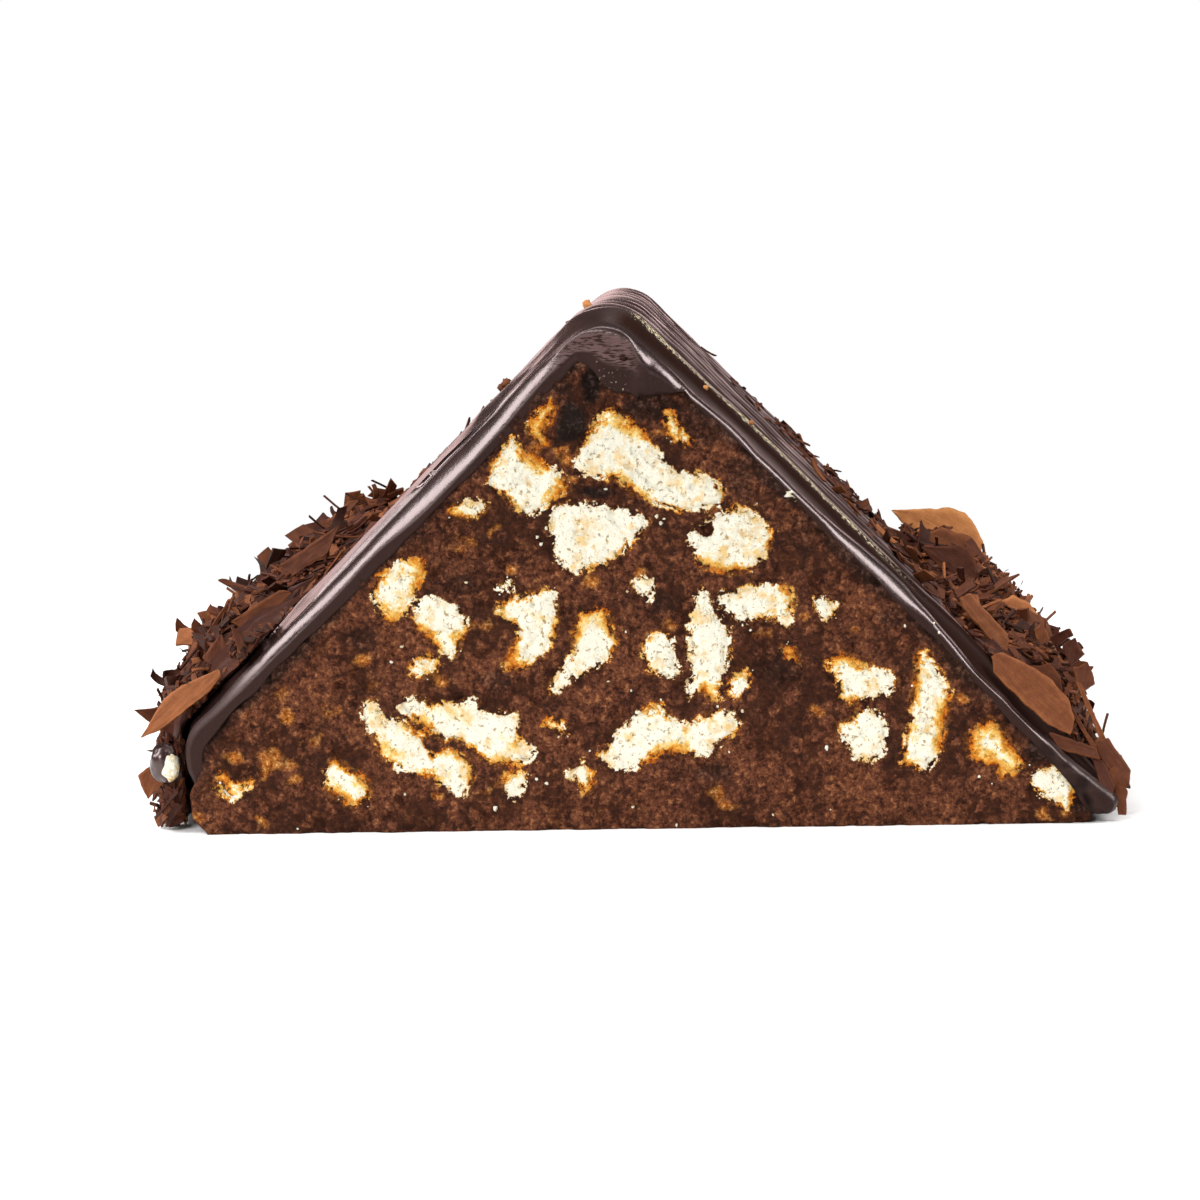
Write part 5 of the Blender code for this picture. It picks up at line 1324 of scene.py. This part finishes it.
def make_stuck_flakes(finish):
    """Shavings that lie flat on the glazed slopes above the banks, few at the cut and many at the back,
    and a few near the ridge: points on the outer line plus the ribs, each flake square to the slope."""
    dice = np.random.default_rng(58)
    outer, normal, _ = glaze_lines()
    share = share_across(outer)
    y = FRONT_Y + 12 + (BACK_Y - FRONT_Y - 16) * dice.uniform(0, 1, STUCK_FLAKES) ** 0.6
    reach = 18 + 24 * (y - FRONT_Y) / (BACK_Y - FRONT_Y)
    height = 25 + reach * np.abs(dice.normal(0, 0.42, STUCK_FLAKES))
    keep = height < 80
    y, height = y[keep], height[keep]
    right = dice.uniform(0, 1, len(y)) < 0.45
    top = int(outer[:, 1].argmax())
    spot = np.where(right, np.interp(height, outer[5:top, 1], np.arange(5, top)),
                    np.interp(height, outer[:top:-1, 1], np.arange(len(outer) - 1, top, -1)))
    spot = spot.astype(int)
    relief = rib_height(share[spot], outer[spot, 1], y)
    flat = outer[spot] + normal[spot] * (relief + dice.uniform(0.0, 0.5, len(y)))[:, None]
    places = tapered(np.stack((flat[:, 0], y, flat[:, 1]), 1))
    facing = np.stack((normal[spot, 0], np.zeros(len(y)), normal[spot, 1]), 1)
    facing = facing + dice.normal(0, 0.22, facing.shape)
    big = dice.uniform(0, 1, (len(y), 1)) ** 2.4
    size = np.c_[1.2 + 6.5 * big, 0.7 + 2.4 * big, dice.uniform(0.25, 0.5, big.shape),
                 dice.uniform(-0.3, 0.6, big.shape)]
    tones = np.clip(dice.normal(0.32, 0.16, len(y)), 0.05, 0.8)
    points, faces, marks = flakes(dice, places, facing, dice.normal(0, 1, facing.shape), size, 4, 3, tones)
    put_mesh("stuck_flakes", points.reshape(-1, 3), faces, finish, marks,
             sharp=28)


def make_coated_crumb(glaze, bare):
    """The glazed crumb at the left foot: an ellipsoid, lumpy by noise, in glaze, with its bare biscuit
    side, a second closed cap that swells through the glaze, to the right."""
    for name, finish, centre, radii, seed in (
            ("glazed_crumb", glaze, CRUMB_CENTRE, CRUMB_RADII, 95),
            ("bare_crumb_side", bare, np.array(CRUMB_CENTRE) + (0.85, -0.75, -0.5), (1.7, 2.1, 2.5), 96)):
        lift = np.linspace(-math.pi / 2, math.pi / 2, 33)[:, None]
        turn = np.arange(48)[None] * 2 * math.pi / 48
        ball = np.stack((np.cos(lift) * np.cos(turn), np.cos(lift) * np.sin(turn),
                         np.sin(lift) * np.ones_like(turn)), 2).reshape(-1, 3)
        rough = 1 + 0.10 * noise(ball * 3 + 20, 1.6, seed) + 0.04 * noise(ball * 3 + 20, 0.6, seed + 3)
        points = np.array(centre) + ball * rough[:, None] * radii * 0.97
        marks = {"matte": np.full(len(points), 0.1), "specks_and_painted_shade": np.zeros(len(points)),
                 "edge": np.full(len(points), 1.2), "toast": np.full(len(points), 0.35),
                 "stain_and_shade": np.zeros(len(points))}
        put_mesh(name, points, [grid_faces(33, 48, around=True)], finish, marks,
                 ("coated_crumb",) if seed == 95 else (),
                 merge=True)


# Studio -------------------------------------------------------------------------------------------


def make_floor():
    """A pale floor, a disc that fades into the white of the room 0.16 to 0.42 m out."""
    turn = np.arange(96) * 2 * math.pi / 96
    radii = np.array((0.001, 200, 500, 800, 1100, 1500.0))
    points = np.stack((np.outer(radii, np.cos(turn)), np.outer(radii, np.sin(turn)),
                       np.zeros((6, 96))), 2).reshape(-1, 3)
    material, tree, shader = new_finish("pale_studio_floor")
    place = add(tree, "ShaderNodeTexCoord", out="Object")
    far = add(tree, "ShaderNodeVectorMath", {0: place}, operation="LENGTH", out="Value")
    fade = add(tree, "ShaderNodeMapRange", {"Value": far, "From Min": 0.16, "From Max": 0.42},
               interpolation_type="SMOOTHSTEP")
    clear = add(tree, "ShaderNodeBsdfTransparent")
    both = add(tree, "ShaderNodeMixShader", {0: fade, 1: shader.outputs[0], 2: clear})
    output = next(n for n in tree.nodes if n.bl_idname == "ShaderNodeOutputMaterial")
    tree.links.new(both, output.inputs["Surface"])
    shader.inputs["Base Color"].default_value = linear("#f7f6f5")
    shader.inputs["Roughness"].default_value = 0.6
    mesh = bpy.data.meshes.new("studio_floor")
    mesh.from_pydata((points * MM).tolist(), [], grid_faces(6, 96, around=True).tolist())
    mesh.materials.append(material)
    floor = bpy.data.objects.new("studio_floor", mesh)
    bpy.context.scene.collection.objects.link(floor)


def aim(thing, at, to, roll=0.0):
    """Puts a lamp or camera at a point, in mm, looking to another, with -Z ahead and a roll in degrees."""
    at, to = np.array(at, float), np.array(to, float)
    ahead = (to - at) / np.linalg.norm(to - at)
    right = np.cross(ahead, (0, 0, 1.0))
    right /= np.linalg.norm(right)
    up = np.cross(right, ahead)
    c, s = math.cos(math.radians(roll)), math.sin(math.radians(roll))
    right, up = c * right - s * up, s * right + c * up
    matrix = np.eye(4)
    matrix[:3] = np.stack((right, up, -ahead, at * MM), 1)
    thing.matrix_world = [tuple(column) for column in matrix.T]


def make_lamp(name, at, to, size, power, colour="#ffffff"):
    """A soft rectangular studio lamp, its size in mm and its power in watts."""
    lamp = bpy.data.lights.new(name, "AREA")
    lamp.shape = "RECTANGLE"
    lamp.size, lamp.size_y = size[0] * MM, size[1] * MM
    lamp.energy = power
    lamp.color = linear(colour)[:3]
    thing = bpy.data.objects.new(name, lamp)
    bpy.context.scene.collection.objects.link(thing)
    aim(thing, at, to)
    thing.visible_camera = False


def make_studio():
    """White room seen by the camera, dim for the chocolate's gloss, five soft lamps and the camera."""
    world = bpy.data.worlds.new("white_room")
    bpy.context.scene.world = world
    world.use_nodes = True
    tree = world.node_tree
    tree.nodes.clear()
    seen = add(tree, "ShaderNodeLightPath", out="Is Camera Ray")
    strength = add(tree, "ShaderNodeMapRange", {"Value": seen, "To Min": 0.07, "To Max": 1.0})
    back = add(tree, "ShaderNodeBackground", {"Color": (1, 1, 1, 1), "Strength": strength})
    add(tree, "ShaderNodeOutputWorld", {"Surface": back})
    make_lamp("front_lamp", (-300, -900, 460), (0, -100, 35), (420, 420), 9.8)
    make_lamp("left_lamp", (-620, -120, 600), (0, 0, 40), (420, 700), 9.5)
    make_lamp("top_lamp", (40, 20, 900), (0, 0, 40), (260, 900), 4.0)
    make_lamp("right_lamp", (640, -90, 560), (0, 0, 40), (320, 500), 5.5)
    make_lamp("back_lamp", (0, 1000, 255), (0, 0, 60), (1300, 220), 1.7, "#ffd9d6")
    camera = bpy.data.cameras.new("camera")
    camera.lens, camera.sensor_width = CAMERA_LENS, 36.0
    camera.clip_start = 0.01
    thing = bpy.data.objects.new("camera", camera)
    bpy.context.scene.collection.objects.link(thing)
    aim(thing, CAMERA_AT, CAMERA_TO, CAMERA_ROLL)
    bpy.context.scene.camera = thing
    bpy.context.scene.view_settings.view_transform = "Standard"


def main():
    dough, biscuit = cut_face("crumbly_cocoa_dough"), cut_face("short_biscuit")
    glaze, shaved = chocolate_glaze(), shaved_chocolate()
    make_dough(dough)
    for name, (level, corners) in BISCUITS.items():
        make_biscuit(name, level, corners, biscuit)
    make_white_crumbs(biscuit)
    make_glaze(glaze)
    make_plates(shaved)
    for label, side in (("left", -1), ("right", 1)):
        make_bank_core(label, side, shaved)
        for kind, spec in SHAVINGS.items():
            make_shavings(label, side, kind, spec, shaved)
    make_stuck_flakes(shaved)
    make_outline_crumbs(shaved, biscuit)
    make_coated_crumb(glaze, biscuit)
    make_floor()
    make_studio()


main()
